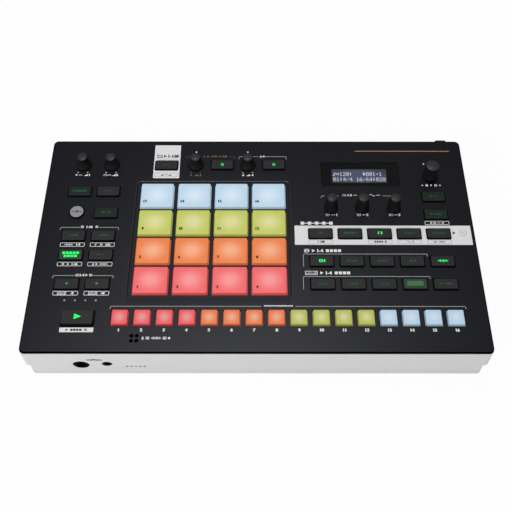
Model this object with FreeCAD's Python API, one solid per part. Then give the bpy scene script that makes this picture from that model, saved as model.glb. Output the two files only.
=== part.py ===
# Desktop groovebox: a black control panel with sixteen pads, sixteen step keys, function keys,
# knobs and a small display, over a white two-tier case that holds the boards and the jacks.
# Millimetres, +Z up, front towards -Y. The feet rest on z = 0 and the origin is under the middle
# of the whole outline, power button included.
import FreeCAD, Part

import math
import os

os.makedirs("parts", exist_ok=True)

Vec = FreeCAD.Vector

# Overall size
PANEL_WIDTH = 436.0
PANEL_DEPTH = 245.0
PANEL_TOP = 55.0
PANEL_THICK = 2.0
PANEL_BEVEL = 0.5
FOOT_HEIGHT = 2.5
BUTTON_OUT = 4.0

# Case walls
CORNER = 5.0
RIM_SETBACK = 0.3
WALL = 2.5
FLOOR = 2.5
LEDGE_Z = 28.0
PLINTH_INSET = 2.6
RIM_BEVEL = 1.2
BASE_BEVEL = 1.2

# Places on the panel are distances from its left edge and from its rear edge
REAR_EDGE = (PANEL_DEPTH - BUTTON_OUT) / 2
PANEL_UNDER = PANEL_TOP - PANEL_THICK
FLOOR_TOP = FOOT_HEIGHT + FLOOR
PLINTH_FACE = RIM_SETBACK + PLINTH_INSET
PLINTH_INSIDE = PLINTH_FACE + WALL
LEFT_COLUMNS = (35.5, 65.0)
TRACK_COLUMNS = [281.75 + 29.5 * i for i in range(5)]

# Pads
PAD_WIDTH = 32.9
PAD_DEPTH = 28.5
PAD_COLUMNS = [115.7 + 38.25 * i for i in range(4)]
PAD_ROWS = [169.9 - 32.8 * i for i in range(4)]
PAD_RISE = 2.2
PAD_CORNER = 1.4
PAD_BEVEL = 0.8
PAD_TRAVEL_ROOM = 1.3
PAD_GAP = 0.9
PAD_LIP = 1.6
PAD_FOOT = (24.0, 20.0)
SENSOR_THICK = 1.0
BAY_WIDTH = 157.0
BAY_DEPTH = 134.5
BAY_CENTRE = (172.7, 121.0)
BAY_CORNER = 3.5
BAY_BEVEL = 1.0
FRAME_DROP = 1.2
FRAME_PLATE = 2.0
FRAME_MARGIN = 4.0
FRAME_GAP = 0.1

# Keys
KEY_WIDTH = 22.6
KEY_DEPTH = 10.9
KEY_RISE = 2.0
KEY_BEVEL = 0.4
KEY_GAP = 0.9
KEY_TRAVEL_ROOM = 1.2
LIP = 1.0
LIP_THICK = 1.2
STEP_WIDTH = 14.9
STEP_DEPTH = 14.9
STEP_RISE = 2.5
STEP_BEVEL = 0.6
STEP_FIRST = 89.75
STEP_PITCH = 21.0
STEP_ROW = 209.2
STEP_COLOURS = ("red", "orange", "lime", "blue")
START_SIZE = (29.7, 14.0)
START_RISE = 4.5
START_SPOT = (50.6, 210.1)
ROUND_KEY_RADIUS = 6.8
ROUND_KEY_BEVEL = 0.5
ROUND_SIDES = 24
ROUND_KEY_SPOT = (35.5, 91.8)

SMALL_KEYS = {
    "key_project": [(123.0, 32.7)],
    "key_effect_on": [(181.8, 32.4)],
    "key_mic_on": [(236.1, 32.4)],
    "key_shift": [(LEFT_COLUMNS[0], 66.4)],
    "key_undo": [(LEFT_COLUMNS[1], 66.4)],
    "key_copy": [(LEFT_COLUMNS[1], 92.8)],
    "key_exit": [(TRACK_COLUMNS[4], 72.7)],
    "key_system": [(TRACK_COLUMNS[4], 94.5)],
    "pad_mode_keys": [(x, y) for y in (119.9, 142.1) for x in LEFT_COLUMNS],
    "measure_keys": [(x, 173.9) for x in LEFT_COLUMNS],
    "workflow_keys": [(x, 117.0) for x in TRACK_COLUMNS],
    "drum_track_keys": [(x, 148.8) for x in TRACK_COLUMNS],
    "melodic_track_keys": [(x, 173.9) for x in TRACK_COLUMNS],
}

# Knobs: radius and height above the panel of each step of the outline, from the skirt up
KNOB_SIDES = 20
POT_STEPS = [(8.4, 0.8), (8.4, 1.8), (6.0, 6.2), (5.2, 14.3)]
ENCODER_STEPS = [(7.2, 0.8), (7.2, 2.2), (6.7, 3.4), (5.2, 19.5)]
VALUE_STEPS = [(7.9, 0.8), (7.9, 2.6), (7.5, 3.4), (6.9, 19.0)]
POT_ROW = 31.4
ENCODER_ROW = 85.8
KNOBS = {
    "knob_volume": (35.5, POT_ROW, POT_STEPS),
    "knob_phones": (65.2, POT_ROW, POT_STEPS),
    "knob_tune": (153.8, POT_ROW, POT_STEPS),
    "knob_gain": (208.6, POT_ROW, POT_STEPS),
    "knob_ctrl_1": (293.8, ENCODER_ROW, ENCODER_STEPS),
    "knob_ctrl_2": (325.5, ENCODER_ROW, ENCODER_STEPS),
    "knob_ctrl_3": (357.8, ENCODER_ROW, ENCODER_STEPS),
    "knob_value": (399.6, 45.6, VALUE_STEPS),
}
SHAFT_RADIUS = 3.0
SPINDLE_BORE = 3.06
KNOB_ROOF = 2.5
SPINDLE_TOP = PANEL_TOP + VALUE_STEPS[-1][1] - KNOB_ROOF
SHAFT_HOLE = 3.6
POT_BODY = 10.0
POT_TOP = 52.2
VALUE_TRAVEL_ROOM = 0.8

# Display
WINDOW_SIZE = (81.8, 30.5)
WINDOW_SPOT = (326.4, 43.7)
WINDOW_THICK = 1.2
WINDOW_GAP = 0.15
WINDOW_CLIP = 0.7
LCD_SIZE = (60.0, 19.4)
LCD_SPOT = (325.4, 45.3)
LCD_BODY = (72.0, 25.0)
LCD_GAP = 0.5

# Small openings in the panel
MIC_HOLE = 1.5
MIC_PITCH = 5.0
MIC_CAPSULE = 9.6
MIC_SPOT = (104.7, 229.8)
LED_RADIUS = 1.0
LED_CHIP = 1.2
LED_DROP = 0.3
LED_ROW = 191.0
LED_COLUMNS = [35.6 + 9.93 * i for i in range(4)]

# Boards
CONTROL_TOP = 45.6
MAIN_TOP = 21.9
BOARD_THICK = 1.6
CONTROL_SPAN = (16.0, 422.0, 15.0, 237.0)
MAIN_SPAN = (16.0, 420.0, 7.0, 238.0)
CHIP_SPOT = (240.0, 90.0)
CHIP_SIDE = 28.0
CHIP_TALL = 2.0
SWITCH_SIDE = 5.0
STANDOFF_SIDE = 5.0
STANDOFFS = [(20.0, 40.0), (20.0, 215.0), (264.0, 95.0), (262.0, 190.0), (418.0, 190.0), (84.0, 60.0)]
POST_SIDE = 7.0
POSTS = [(30.0, 30.0), (30.0, 190.0), (200.0, 120.0), (400.0, 60.0), (400.0, 215.0), (300.0, 190.0)]

# Screws that hold the case to the panel
SCREWS = [(x, y) for x in (8.2, 427.8) for y in (20.0, 122.0, 232.0)]
BOSS_RADIUS = 4.4
BOSS_TOP = 40.0
BORE_RADIUS = 3.1
BORE_TOP = 34.0
SCREW_RADIUS = 1.5
SCREW_SIDES = 6
SCREW_HEAD = 2.8
SCREW_HEAD_TALL = 2.0
SCREW_REACH = 50.5

# Feet
FOOT_RADIUS = 8.0
FOOT_SIDES = 14
FOOT_SPOTS = [(30.0, 30.0), (406.0, 30.0), (30.0, 215.0), (406.0, 215.0)]

# Front jacks: place along the front, height of the axis, hole in the case
LARGE_JACK_LEFT = 53.8
LARGE_JACK_Z = 28.4
LARGE_JACK_HOLE = 7.9
SMALL_JACK_LEFT = 78.4
SMALL_JACK_Z = 30.6
SMALL_JACK_HOLE = 4.9

# Rear sockets
REAR_Z = 37.0
POWER_LEFT = 417.0
POWER_SIZE = (11.4, 8.4)
POWER_Z = 47.6
POWER_GAP = 0.35
SLOT_CLIP = 1.0
POWER_BEVEL = 0.5
POWER_TRAVEL_ROOM = 2.2
POWER_SWITCH_LEFT = 416.0
POWER_SWITCH_FACE = 8.6
POWER_SWITCH_WIDE = 10.0
POWER_SWITCH_LONG = 12.0
DC_LEFT = 390.0
DC_HOLE = 4.6
DC_WIDE = 9.0
DC_LONG = 14.0
DC_DEPTH = 10.0
DC_BARREL = 2.9
DC_PIN = 1.0
USB_LEFT = 364.0
USB_SIZE = (9.6, 4.0)
USB_LONG = 9.0
USB_WALL = 0.5
USB_TONGUE = (6.6, 0.7)
USB_GAP = 0.3
MIDI_LEFTS = (318.0, 336.0)
LINE_LEFTS = (266.0, 290.0)
MIC_IN_LEFT = 214.0
LOCK_LEFT = 20.0
LOCK_SIZE = (7.0, 3.0)
HOLE_SIDES = 20
INLET_SIDES = 12

# Jacks: bore radius, bore depth, body width, body length, height of the body above the bore's axis
PHONE_JACK = (3.2, 30.0, 14.0, 33.0, 6.5)
MINI_JACK = (1.8, 13.0, 9.0, 15.0, 4.5)
PHONE_HOLE = 5.6
MINI_HOLE = 3.4
JACK_SETBACK = 0.4

# Noses of the front jacks: radius, radius of the opening, how far they stand out of the body
LARGE_NOSE = (6.0, 4.2, 2.6)
SMALL_NOSE = (4.5, 3.7, 5.0)


def spot(from_left, from_rear):
    """X and Y of a place given by its distances from the panel's left and rear edges."""
    return from_left - PANEL_WIDTH / 2, REAR_EDGE - from_rear


def upright_edges(shape):
    """Straight edges that run along Z."""
    return [e for e in shape.Edges
            if len(e.Vertexes) == 2 and abs(abs(e.tangentAt(e.FirstParameter).z) - 1) < 1e-6]


def level_edges(shape, z):
    """Edges that lie in the level plane at height z."""
    return [e for e in shape.Edges
            if abs(e.BoundBox.ZMin - z) < 1e-6 and abs(e.BoundBox.ZMax - z) < 1e-6]


def slab(from_left, from_rear, width, depth, low, high, radius=0.0):
    """Upright block centred on a place of the panel, with rounded corners if a radius is given."""
    x, y = spot(from_left, from_rear)
    block = Part.makeBox(width, depth, high - low, Vec(x - width / 2, y - depth / 2, low))
    return block.makeFillet(radius, upright_edges(block)) if radius else block


def clipped_slab(from_left, from_rear, width, depth, low, high, clip):
    """Upright block whose vertical edges are cut off at 45 degrees."""
    block = slab(from_left, from_rear, width, depth, low, high)
    return block.makeChamfer(clip, upright_edges(block))


def rod(from_left, from_rear, radius, low, high):
    """Upright cylinder on a place of the panel."""
    x, y = spot(from_left, from_rear)
    return Part.makeCylinder(radius, high - low, Vec(x, y, low))


def rod_y(from_left, height, radius, from_rear, to_rear):
    """Cylinder along Y between two distances from the rear edge."""
    x, y = spot(from_left, to_rear)
    return Part.makeCylinder(radius, to_rear - from_rear, Vec(x, y, height), Vec(0, 1, 0))


def prism_y(from_left, height, radius, from_rear, to_rear, sides=HOLE_SIDES):
    """Flat-sided stand-in for a round hole or nose along Y, between two distances from the rear."""
    x, y = spot(from_left, max(from_rear, to_rear))
    turns = [math.radians(360 * (i + 0.5) / sides) for i in range(sides)]
    points = [Vec(x + radius * math.cos(t), y, height + radius * math.sin(t)) for t in turns]
    return face_through(points).extrude(Vec(0, abs(to_rear - from_rear), 0))


def bevelled(shape, size, z):
    """The shape with its edges at height z chamfered."""
    return shape.makeChamfer(size, level_edges(shape, z))


def ring(from_left, from_rear, sides, radius, z):
    """Corner points of a regular polygon about an upright axis."""
    x, y = spot(from_left, from_rear)
    turns = [math.radians(360 * i / sides) for i in range(sides)]
    return [Vec(x + radius * math.cos(t), y + radius * math.sin(t), z) for t in turns]


def face_through(points):
    """Flat face through a closed run of points."""
    return Part.Face(Part.makePolygon(points + points[:1]))


def flat_sided(from_left, from_rear, sides, steps):
    """Solid with flat sides through (radius, height) steps, from the lowest up."""
    rings = [ring(from_left, from_rear, sides, r, z) for r, z in steps]
    faces = [face_through(rings[0]), face_through(rings[-1])]
    for lower, upper in zip(rings, rings[1:]):
        for i in range(sides):
            k = (i + 1) % sides
            faces.append(face_through([lower[i], lower[k], upper[k], upper[i]]))
    return Part.makeSolid(Part.makeShell(faces))


def prism(from_left, from_rear, radius, low, high, sides=8):
    """Flat-sided stand-in for a small round boss, pin or bore that comes many times."""
    return flat_sided(from_left, from_rear, sides, [(radius, low), (radius, high)])


def save(name, shape):
    """Write one sub-part, after a check that it is sound."""
    shape = shape.removeSplitter()
    assert shape.isValid(), name
    shape.exportStep(f"parts/{name}.step")
    print(f"{name:22s} solids {len(shape.Solids):3d}  volume {shape.Volume / 1000:9.3f} cm3")


# Case

def case_shell():
    """Open tray with a wide upper tier and a plinth set back under a ledge."""
    middle = (PANEL_WIDTH / 2, PANEL_DEPTH / 2)

    def tier(inset, low, high):
        size = (PANEL_WIDTH - 2 * inset, PANEL_DEPTH - 2 * inset)
        return slab(*middle, *size, low, high, CORNER - inset / 2)

    def hollow(inset, low, high):
        return slab(*middle, PANEL_WIDTH - 2 * inset, PANEL_DEPTH - 2 * inset, low, high)

    upper = bevelled(tier(RIM_SETBACK, LEDGE_Z, PANEL_UNDER), RIM_BEVEL, PANEL_UNDER)
    plinth = bevelled(tier(PLINTH_FACE, FOOT_HEIGHT, LEDGE_Z), BASE_BEVEL, FOOT_HEIGHT)
    shell = upper.fuse(plinth)
    shell = shell.cut(hollow(RIM_SETBACK + WALL, LEDGE_Z + WALL, PANEL_UNDER))
    return shell.cut(hollow(PLINTH_INSIDE, FLOOR_TOP, LEDGE_Z + WALL))


def lower_case():
    """White case: shell, screw bosses, board posts and every socket opening."""
    shell = case_shell()
    added = [prism(x, y, BOSS_RADIUS, FLOOR_TOP, BOSS_TOP) for x, y in SCREWS]
    added += [slab(x, y, POST_SIDE, POST_SIDE, FLOOR_TOP, MAIN_TOP - BOARD_THICK) for x, y in POSTS]
    shell = shell.multiFuse(added)

    cuts = []
    for x, y in SCREWS:
        cuts.append(prism(x, y, BORE_RADIUS, 0, BORE_TOP))
        cuts.append(prism(x, y, SCREW_RADIUS, BORE_TOP, BOSS_TOP, SCREW_SIDES))
    inner, outer = PANEL_DEPTH - PLINTH_INSIDE - 1, PANEL_DEPTH
    cuts.append(prism_y(LARGE_JACK_LEFT, LARGE_JACK_Z, LARGE_JACK_HOLE, inner, outer))
    cuts.append(prism_y(SMALL_JACK_LEFT, SMALL_JACK_Z, SMALL_JACK_HOLE, inner, outer))
    deep = PLINTH_INSIDE + 1
    cuts.append(prism_y(DC_LEFT, REAR_Z, DC_HOLE, 0, deep))
    for left in MIDI_LEFTS:
        cuts.append(prism_y(left, REAR_Z, MINI_HOLE, 0, deep))
    for left in (MIC_IN_LEFT, *LINE_LEFTS):
        cuts.append(prism_y(left, REAR_Z, PHONE_HOLE, 0, deep))
    usb = (USB_SIZE[0] + 2 * USB_GAP, USB_SIZE[1] + 2 * USB_GAP)
    cuts.append(wall_slot(USB_LEFT, REAR_Z, *usb, 0, deep))
    lock = slab(LOCK_LEFT, deep / 2, LOCK_SIZE[0], deep, REAR_Z, REAR_Z + LOCK_SIZE[1])
    cuts.append(lock)
    power = (POWER_SIZE[0] + 2 * POWER_GAP, POWER_SIZE[1] + 2 * POWER_GAP)
    cuts.append(wall_slot(POWER_LEFT, POWER_Z, *power, 0, deep))
    return shell.cut(cuts)


def wall_slot(left, height, width, tall, from_rear, to_rear):
    """Block along Y with its four long edges cut off, for an opening in the rear wall."""
    x, y = spot(left, to_rear)
    block = Part.makeBox(width, to_rear - from_rear, tall, Vec(x - width / 2, y, height - tall / 2))
    along = [e for e in block.Edges if abs(abs(e.tangentAt(e.FirstParameter).y) - 1) < 1e-6]
    return block.makeChamfer(SLOT_CLIP, along)


def rubber_feet():
    """Four round feet stuck to the case's underside."""
    feet = [prism(x, y, FOOT_RADIUS, 0, FOOT_HEIGHT, FOOT_SIDES) for x, y in FOOT_SPOTS]
    return Part.makeCompound(feet)


def case_screws():
    """Screws driven from below through the case bosses into the panel's bosses."""
    screws = []
    for x, y in SCREWS:
        head = prism(x, y, SCREW_HEAD, BORE_TOP - SCREW_HEAD_TALL, BORE_TOP)
        screws.append(head.fuse(prism(x, y, SCREW_RADIUS, BORE_TOP, SCREW_REACH, SCREW_SIDES)))
    return Part.makeCompound(screws)


# Panel

def top_panel():
    """Black panel: key openings, pad bay, window seat, bush, lamp and microphone holes, bosses."""
    middle = (PANEL_WIDTH / 2, PANEL_DEPTH / 2)
    plate = slab(*middle, PANEL_WIDTH, PANEL_DEPTH, PANEL_UNDER, PANEL_TOP, CORNER)
    plate = bevelled(plate, PANEL_BEVEL, PANEL_TOP)
    bosses = [prism(x, y, BOSS_RADIUS, BOSS_TOP, PANEL_UNDER) for x, y in SCREWS]
    side = STANDOFF_SIDE
    bosses += [slab(x, y, side, side, CONTROL_TOP, PANEL_UNDER) for x, y in STANDOFFS]
    plate = plate.multiFuse(bosses)

    low, high = PANEL_UNDER - 1, PANEL_TOP + 1
    bay = slab(*BAY_CENTRE, BAY_WIDTH, BAY_DEPTH, low, high, BAY_CORNER)
    bay_mouth = slab(*BAY_CENTRE, BAY_WIDTH + 2 * BAY_BEVEL, BAY_DEPTH + 2 * BAY_BEVEL,
                     PANEL_TOP - BAY_BEVEL, PANEL_TOP + BAY_BEVEL, BAY_CORNER + BAY_BEVEL)
    bay_mouth = bevelled(bay_mouth, BAY_BEVEL * 0.999, PANEL_TOP - BAY_BEVEL)
    cuts = [bay, bay_mouth]
    for places in SMALL_KEYS.values():
        for x, y in places:
            cuts.append(slab(x, y, KEY_WIDTH + 2 * KEY_GAP, KEY_DEPTH + 2 * KEY_GAP, low, high))
    for i in range(16):
        size = (STEP_WIDTH + 2 * KEY_GAP, STEP_DEPTH + 2 * KEY_GAP)
        cuts.append(slab(STEP_FIRST + STEP_PITCH * i, STEP_ROW, *size, low, high))
    start = (START_SIZE[0] + 2 * KEY_GAP, START_SIZE[1] + 2 * KEY_GAP)
    cuts.append(slab(*START_SPOT, *start, low, high))
    cuts.append(prism(*ROUND_KEY_SPOT, ROUND_KEY_RADIUS + KEY_GAP, low, high, ROUND_SIDES))
    cuts += [prism(x, y, SHAFT_HOLE, low, high, 12) for x, y, _ in KNOBS.values()]
    cuts.append(clipped_slab(*WINDOW_SPOT, *WINDOW_SIZE, PANEL_TOP - WINDOW_THICK, high, WINDOW_CLIP))
    cuts.append(slab(*LCD_SPOT, LCD_SIZE[0] + 2 * LCD_GAP, LCD_SIZE[1] + 2 * LCD_GAP, low, high))
    cuts += [prism(x, LED_ROW, LED_RADIUS, low, high) for x in LED_COLUMNS]
    for side in (-0.5, 0.5):
        for end in (-0.5, 0.5):
            place = (MIC_SPOT[0] + side * MIC_PITCH, MIC_SPOT[1] + end * MIC_PITCH)
            cuts.append(prism(*place, MIC_HOLE, low, high))
    cuts += [prism(x, y, SCREW_RADIUS, BOSS_TOP, SCREW_REACH, SCREW_SIDES) for x, y in SCREWS]
    return plate.cut(cuts)


def pad_frame():
    """Sunken plate under the panel's bay, with an opening for each pad."""
    top = PANEL_TOP - FRAME_DROP
    upper = slab(*BAY_CENTRE, BAY_WIDTH - 2 * FRAME_GAP, BAY_DEPTH - 2 * FRAME_GAP, PANEL_UNDER, top,
                 BAY_CORNER)
    flange = slab(*BAY_CENTRE, BAY_WIDTH + 2 * FRAME_MARGIN, BAY_DEPTH + 2 * FRAME_MARGIN,
                  top - FRAME_PLATE, PANEL_UNDER, BAY_CORNER)
    plate = upper.fuse(flange)
    size = (PAD_WIDTH + 2 * PAD_GAP, PAD_DEPTH + 2 * PAD_GAP)
    holes = [clipped_slab(x, y, *size, top - FRAME_PLATE - 1, top + 1, PAD_CORNER)
             for x in PAD_COLUMNS for y in PAD_ROWS]
    return plate.cut(holes)


def display_window():
    """Clear lens that lies in the panel's window seat, its face level with the panel."""
    width, depth = [side - 2 * WINDOW_GAP for side in WINDOW_SIZE]
    return clipped_slab(*WINDOW_SPOT, width, depth, PANEL_TOP - WINDOW_THICK, PANEL_TOP, WINDOW_CLIP)


def display_module():
    """Two-line display: its case stands on the control board and its glass meets the lens."""
    case = slab(*LCD_SPOT, *LCD_BODY, CONTROL_TOP, PANEL_UNDER)
    glass = slab(*LCD_SPOT, *LCD_SIZE, PANEL_UNDER, PANEL_TOP - WINDOW_THICK)
    return case.fuse(glass)


# Boards

def board(span, top):
    """Flat board between left, right, rear and front limits."""
    left, right, rear, front = span
    size = (right - left, front - rear)
    return slab((left + right) / 2, (rear + front) / 2, *size, top - BOARD_THICK, top)


def control_board():
    """Board under the panel: rotary controls, key switches, lamps, microphone, power switch."""
    plate = board(CONTROL_SPAN, CONTROL_TOP)
    added = [slab(x, y, POT_BODY, POT_BODY, CONTROL_TOP, POT_TOP) for x, y, _ in KNOBS.values()]
    for places in SMALL_KEYS.values():
        added += [key_switch(x, y) for x, y in places]
    added += [key_switch(STEP_FIRST + STEP_PITCH * i, STEP_ROW) for i in range(16)]
    added += [key_switch(*START_SPOT), key_switch(*ROUND_KEY_SPOT)]
    for x in LED_COLUMNS:
        added.append(slab(x, LED_ROW, LED_CHIP, LED_CHIP, CONTROL_TOP, PANEL_TOP - LED_DROP))
    added.append(slab(*MIC_SPOT, MIC_CAPSULE, MIC_CAPSULE, CONTROL_TOP, PANEL_UNDER))
    low, high = CONTROL_TOP, POWER_Z + POWER_SIZE[1] / 2
    front = POWER_SWITCH_FACE + POWER_SWITCH_LONG
    middle = (POWER_SWITCH_FACE + front) / 2
    added.append(slab(POWER_SWITCH_LEFT, middle, POWER_SWITCH_WIDE, POWER_SWITCH_LONG, low, high))
    x, y, _ = KNOBS["knob_value"]
    return plate.multiFuse(added).cut(rod(x, y, SPINDLE_BORE, CONTROL_TOP, POT_TOP))


def key_switch(from_left, from_rear):
    """Switch on the board under one key, just out of reach of the key at rest."""
    top = PANEL_UNDER - LIP_THICK - KEY_TRAVEL_ROOM
    return slab(from_left, from_rear, SWITCH_SIDE, SWITCH_SIDE, CONTROL_TOP, top)


def main_board():
    """Board in the plinth that carries every jack and socket, on posts of the case."""
    plate = board(MAIN_SPAN, MAIN_TOP)
    face = PLINTH_INSIDE + JACK_SETBACK
    chip = slab(*CHIP_SPOT, CHIP_SIDE, CHIP_SIDE, MAIN_TOP, MAIN_TOP + CHIP_TALL)
    return plate.multiFuse([usb_socket(face), dc_inlet(face), chip])


def usb_socket(face):
    """Flat socket with its tongue."""
    width, tall = USB_SIZE
    shell = slab(USB_LEFT, face + USB_LONG / 2, width, USB_LONG, MAIN_TOP, REAR_Z + tall / 2)
    mouth = slab(USB_LEFT, face + USB_LONG / 2 - USB_WALL, width - 2 * USB_WALL, USB_LONG,
                 REAR_Z - tall / 2 + USB_WALL, REAR_Z + tall / 2 - USB_WALL)
    tongue = slab(USB_LEFT, face + USB_LONG / 2 + USB_WALL, USB_TONGUE[0], USB_LONG - 2 * USB_WALL,
                  REAR_Z - USB_TONGUE[1] / 2, REAR_Z + USB_TONGUE[1] / 2)
    return shell.cut(mouth).fuse(tongue)


def dc_inlet(face):
    """Barrel inlet with its pin."""
    body = slab(DC_LEFT, face + DC_LONG / 2, DC_WIDE, DC_LONG, MAIN_TOP, REAR_Z + DC_WIDE / 2)
    barrel = prism_y(DC_LEFT, REAR_Z, DC_BARREL, face - 1, face + DC_DEPTH, INLET_SIDES)
    pin = prism_y(DC_LEFT, REAR_Z, DC_PIN, face + 1, face + DC_DEPTH, INLET_SIDES)
    return body.cut(barrel).fuse(pin)


def pad_sensor_sheet():
    """Force-sensing sheet on the control board under all the pads."""
    width = PAD_COLUMNS[3] - PAD_COLUMNS[0] + PAD_WIDTH
    depth = PAD_ROWS[0] - PAD_ROWS[3] + PAD_DEPTH
    centre = ((PAD_COLUMNS[0] + PAD_COLUMNS[3]) / 2, (PAD_ROWS[0] + PAD_ROWS[3]) / 2)
    return slab(*centre, width, depth, CONTROL_TOP, CONTROL_TOP + SENSOR_THICK)


# Jacks

def jack(left, axis_z, kind, face, inward):
    """Socket on the main board with its face at a distance from the rear edge. Inward is +1 for a
    rear jack and -1 for a front one."""
    bore, bore_depth, width, length, above = kind
    body = slab(left, face + inward * length / 2, width, length, MAIN_TOP, axis_z + above)
    return body.cut(along(left, axis_z, bore, face, face + inward * bore_depth))


def along(left, axis_z, radius, start, end):
    """Cylinder along Y between two distances from the rear edge, in either order."""
    return rod_y(left, axis_z, radius, min(start, end), max(start, end))


def front_jack(left, axis_z, kind, nose):
    """Jack behind the front wall, with a round nose that fills the hole of the case."""
    face = PANEL_DEPTH - PLINTH_INSIDE - JACK_SETBACK
    radius, opening, out = nose
    rim = prism_y(left, axis_z, radius, face, face + out)
    mouth = prism_y(left, axis_z, opening, face, face + out)
    return jack(left, axis_z, kind, face, -1).fuse(rim.cut(mouth))


def rear_jacks(kind, places):
    """Row of like jacks behind the rear wall."""
    face = PLINTH_INSIDE + JACK_SETBACK
    return Part.makeCompound([jack(x, REAR_Z, kind, face, 1) for x in places])


# Pads and keys

def pad(from_left, from_rear):
    """Pad with a bevelled face, a lip that it is held by under the frame, and a foot."""
    frame_under = PANEL_TOP - FRAME_DROP - FRAME_PLATE
    lip_under = frame_under - LIP_THICK
    top = PANEL_TOP + PAD_RISE
    cap = clipped_slab(from_left, from_rear, PAD_WIDTH, PAD_DEPTH, frame_under, top, PAD_CORNER)
    cap = bevelled(cap, PAD_BEVEL, top)
    lip_size = (PAD_WIDTH + 2 * PAD_LIP, PAD_DEPTH + 2 * PAD_LIP)
    lip = slab(from_left, from_rear, *lip_size, lip_under, frame_under)
    foot_low = CONTROL_TOP + SENSOR_THICK + PAD_TRAVEL_ROOM
    foot = slab(from_left, from_rear, *PAD_FOOT, foot_low, lip_under)
    return cap.fuse([lip, foot])


def key(from_left, from_rear, width, depth, rise, bevel):
    """Key cap with a lip that it is held by under the panel."""
    top = PANEL_TOP + rise
    cap = bevelled(slab(from_left, from_rear, width, depth, PANEL_UNDER, top), bevel, top)
    reach = 2 * (KEY_GAP + LIP)
    lip_under = PANEL_UNDER - LIP_THICK
    return cap.fuse(slab(from_left, from_rear, width + reach, depth + reach, lip_under, PANEL_UNDER))


def round_key():
    """Round key that stands in a round hole, on a square lip."""
    low, high = PANEL_UNDER, PANEL_TOP + KEY_RISE
    radius, bevel = ROUND_KEY_RADIUS, ROUND_KEY_BEVEL
    cap = flat_sided(*ROUND_KEY_SPOT, ROUND_SIDES,
                     [(radius, low), (radius, high - bevel), (radius - bevel, high)])
    side = 2 * (ROUND_KEY_RADIUS + KEY_GAP + LIP)
    return cap.fuse(slab(*ROUND_KEY_SPOT, side, side, low - LIP_THICK, low))


def power_button():
    """Button that slides in through the rear wall, held by a lip inside."""
    width, tall = POWER_SIZE
    inside = RIM_SETBACK + WALL
    cap = wall_slot(POWER_LEFT, POWER_Z, width, tall, -BUTTON_OUT, POWER_SWITCH_FACE - POWER_TRAVEL_ROOM)
    rear = [e for e in cap.Edges if abs(e.BoundBox.YMin - (REAR_EDGE + BUTTON_OUT)) < 1e-6]
    cap = cap.makeChamfer(POWER_BEVEL, rear)
    lip = slab(POWER_LEFT, inside + LIP_THICK / 2, width + 2 * LIP, LIP_THICK,
               POWER_Z - tall / 2 - LIP, POWER_Z + tall / 2 + LIP)
    return cap.fuse(lip)


# Knobs

def outline(steps):
    """Heights of a knob's outline counted from the ground."""
    return [(radius, PANEL_TOP + height) for radius, height in steps]


def knob(from_left, from_rear, steps):
    """Knob with a skirt and a flat-sided grip, on a shaft that stands in its rotary control."""
    body = flat_sided(from_left, from_rear, KNOB_SIDES, outline(steps))
    return body.fuse(prism(from_left, from_rear, SHAFT_RADIUS, POT_TOP, PANEL_TOP + steps[0][1]))


def value_knob():
    """Larger knob with a bore for the spindle of the push control."""
    from_left, from_rear, steps = KNOBS["knob_value"]
    body = flat_sided(from_left, from_rear, KNOB_SIDES, outline(steps))
    return body.cut(rod(from_left, from_rear, SPINDLE_BORE, PANEL_TOP, SPINDLE_TOP))


def value_spindle():
    """Spindle of the value control: it carries the knob and slides down to work the push switch."""
    from_left, from_rear, _ = KNOBS["knob_value"]
    return rod(from_left, from_rear, SHAFT_RADIUS, CONTROL_TOP + VALUE_TRAVEL_ROOM, SPINDLE_TOP)


def build():
    save("lower_case", lower_case())
    save("top_panel", top_panel())
    save("pad_frame", pad_frame())
    save("display_window", display_window())
    save("display_module", display_module())
    save("control_board", control_board())
    save("main_board", main_board())
    save("pad_sensor_sheet", pad_sensor_sheet())
    save("rubber_feet", rubber_feet())
    save("case_screws", case_screws())
    save("phones_jack_large", front_jack(LARGE_JACK_LEFT, LARGE_JACK_Z, PHONE_JACK, LARGE_NOSE))
    save("phones_jack_small", front_jack(SMALL_JACK_LEFT, SMALL_JACK_Z, MINI_JACK, SMALL_NOSE))
    save("line_jacks", rear_jacks(PHONE_JACK, LINE_LEFTS))
    save("mic_jack", rear_jacks(PHONE_JACK, (MIC_IN_LEFT,)))
    save("midi_jacks", rear_jacks(MINI_JACK, MIDI_LEFTS))
    number = 0
    for y in PAD_ROWS:
        for x in PAD_COLUMNS:
            number += 1
            save(f"pad_{number:02d}", pad(x, y))
    for group, colour in enumerate(STEP_COLOURS):
        keys = []
        for i in range(4 * group, 4 * group + 4):
            x = STEP_FIRST + STEP_PITCH * i
            keys.append(key(x, STEP_ROW, STEP_WIDTH, STEP_DEPTH, STEP_RISE, STEP_BEVEL))
        save(f"step_keys_{colour}", Part.makeCompound(keys))
    for name, places in SMALL_KEYS.items():
        keys = [key(x, y, KEY_WIDTH, KEY_DEPTH, KEY_RISE, KEY_BEVEL) for x, y in places]
        save(name, Part.makeCompound(keys))
    save("key_start_stop", key(*START_SPOT, *START_SIZE, START_RISE, STEP_BEVEL))
    save("key_clear", round_key())
    save("power_button", power_button())
    for name, (x, y, steps) in KNOBS.items():
        save(name, value_knob() if name == "knob_value" else knob(x, y, steps))
    save("value_spindle", value_spindle())


build()
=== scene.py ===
import math

import bmesh
import bpy
from mathutils import Matrix, Vector, geometry


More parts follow.
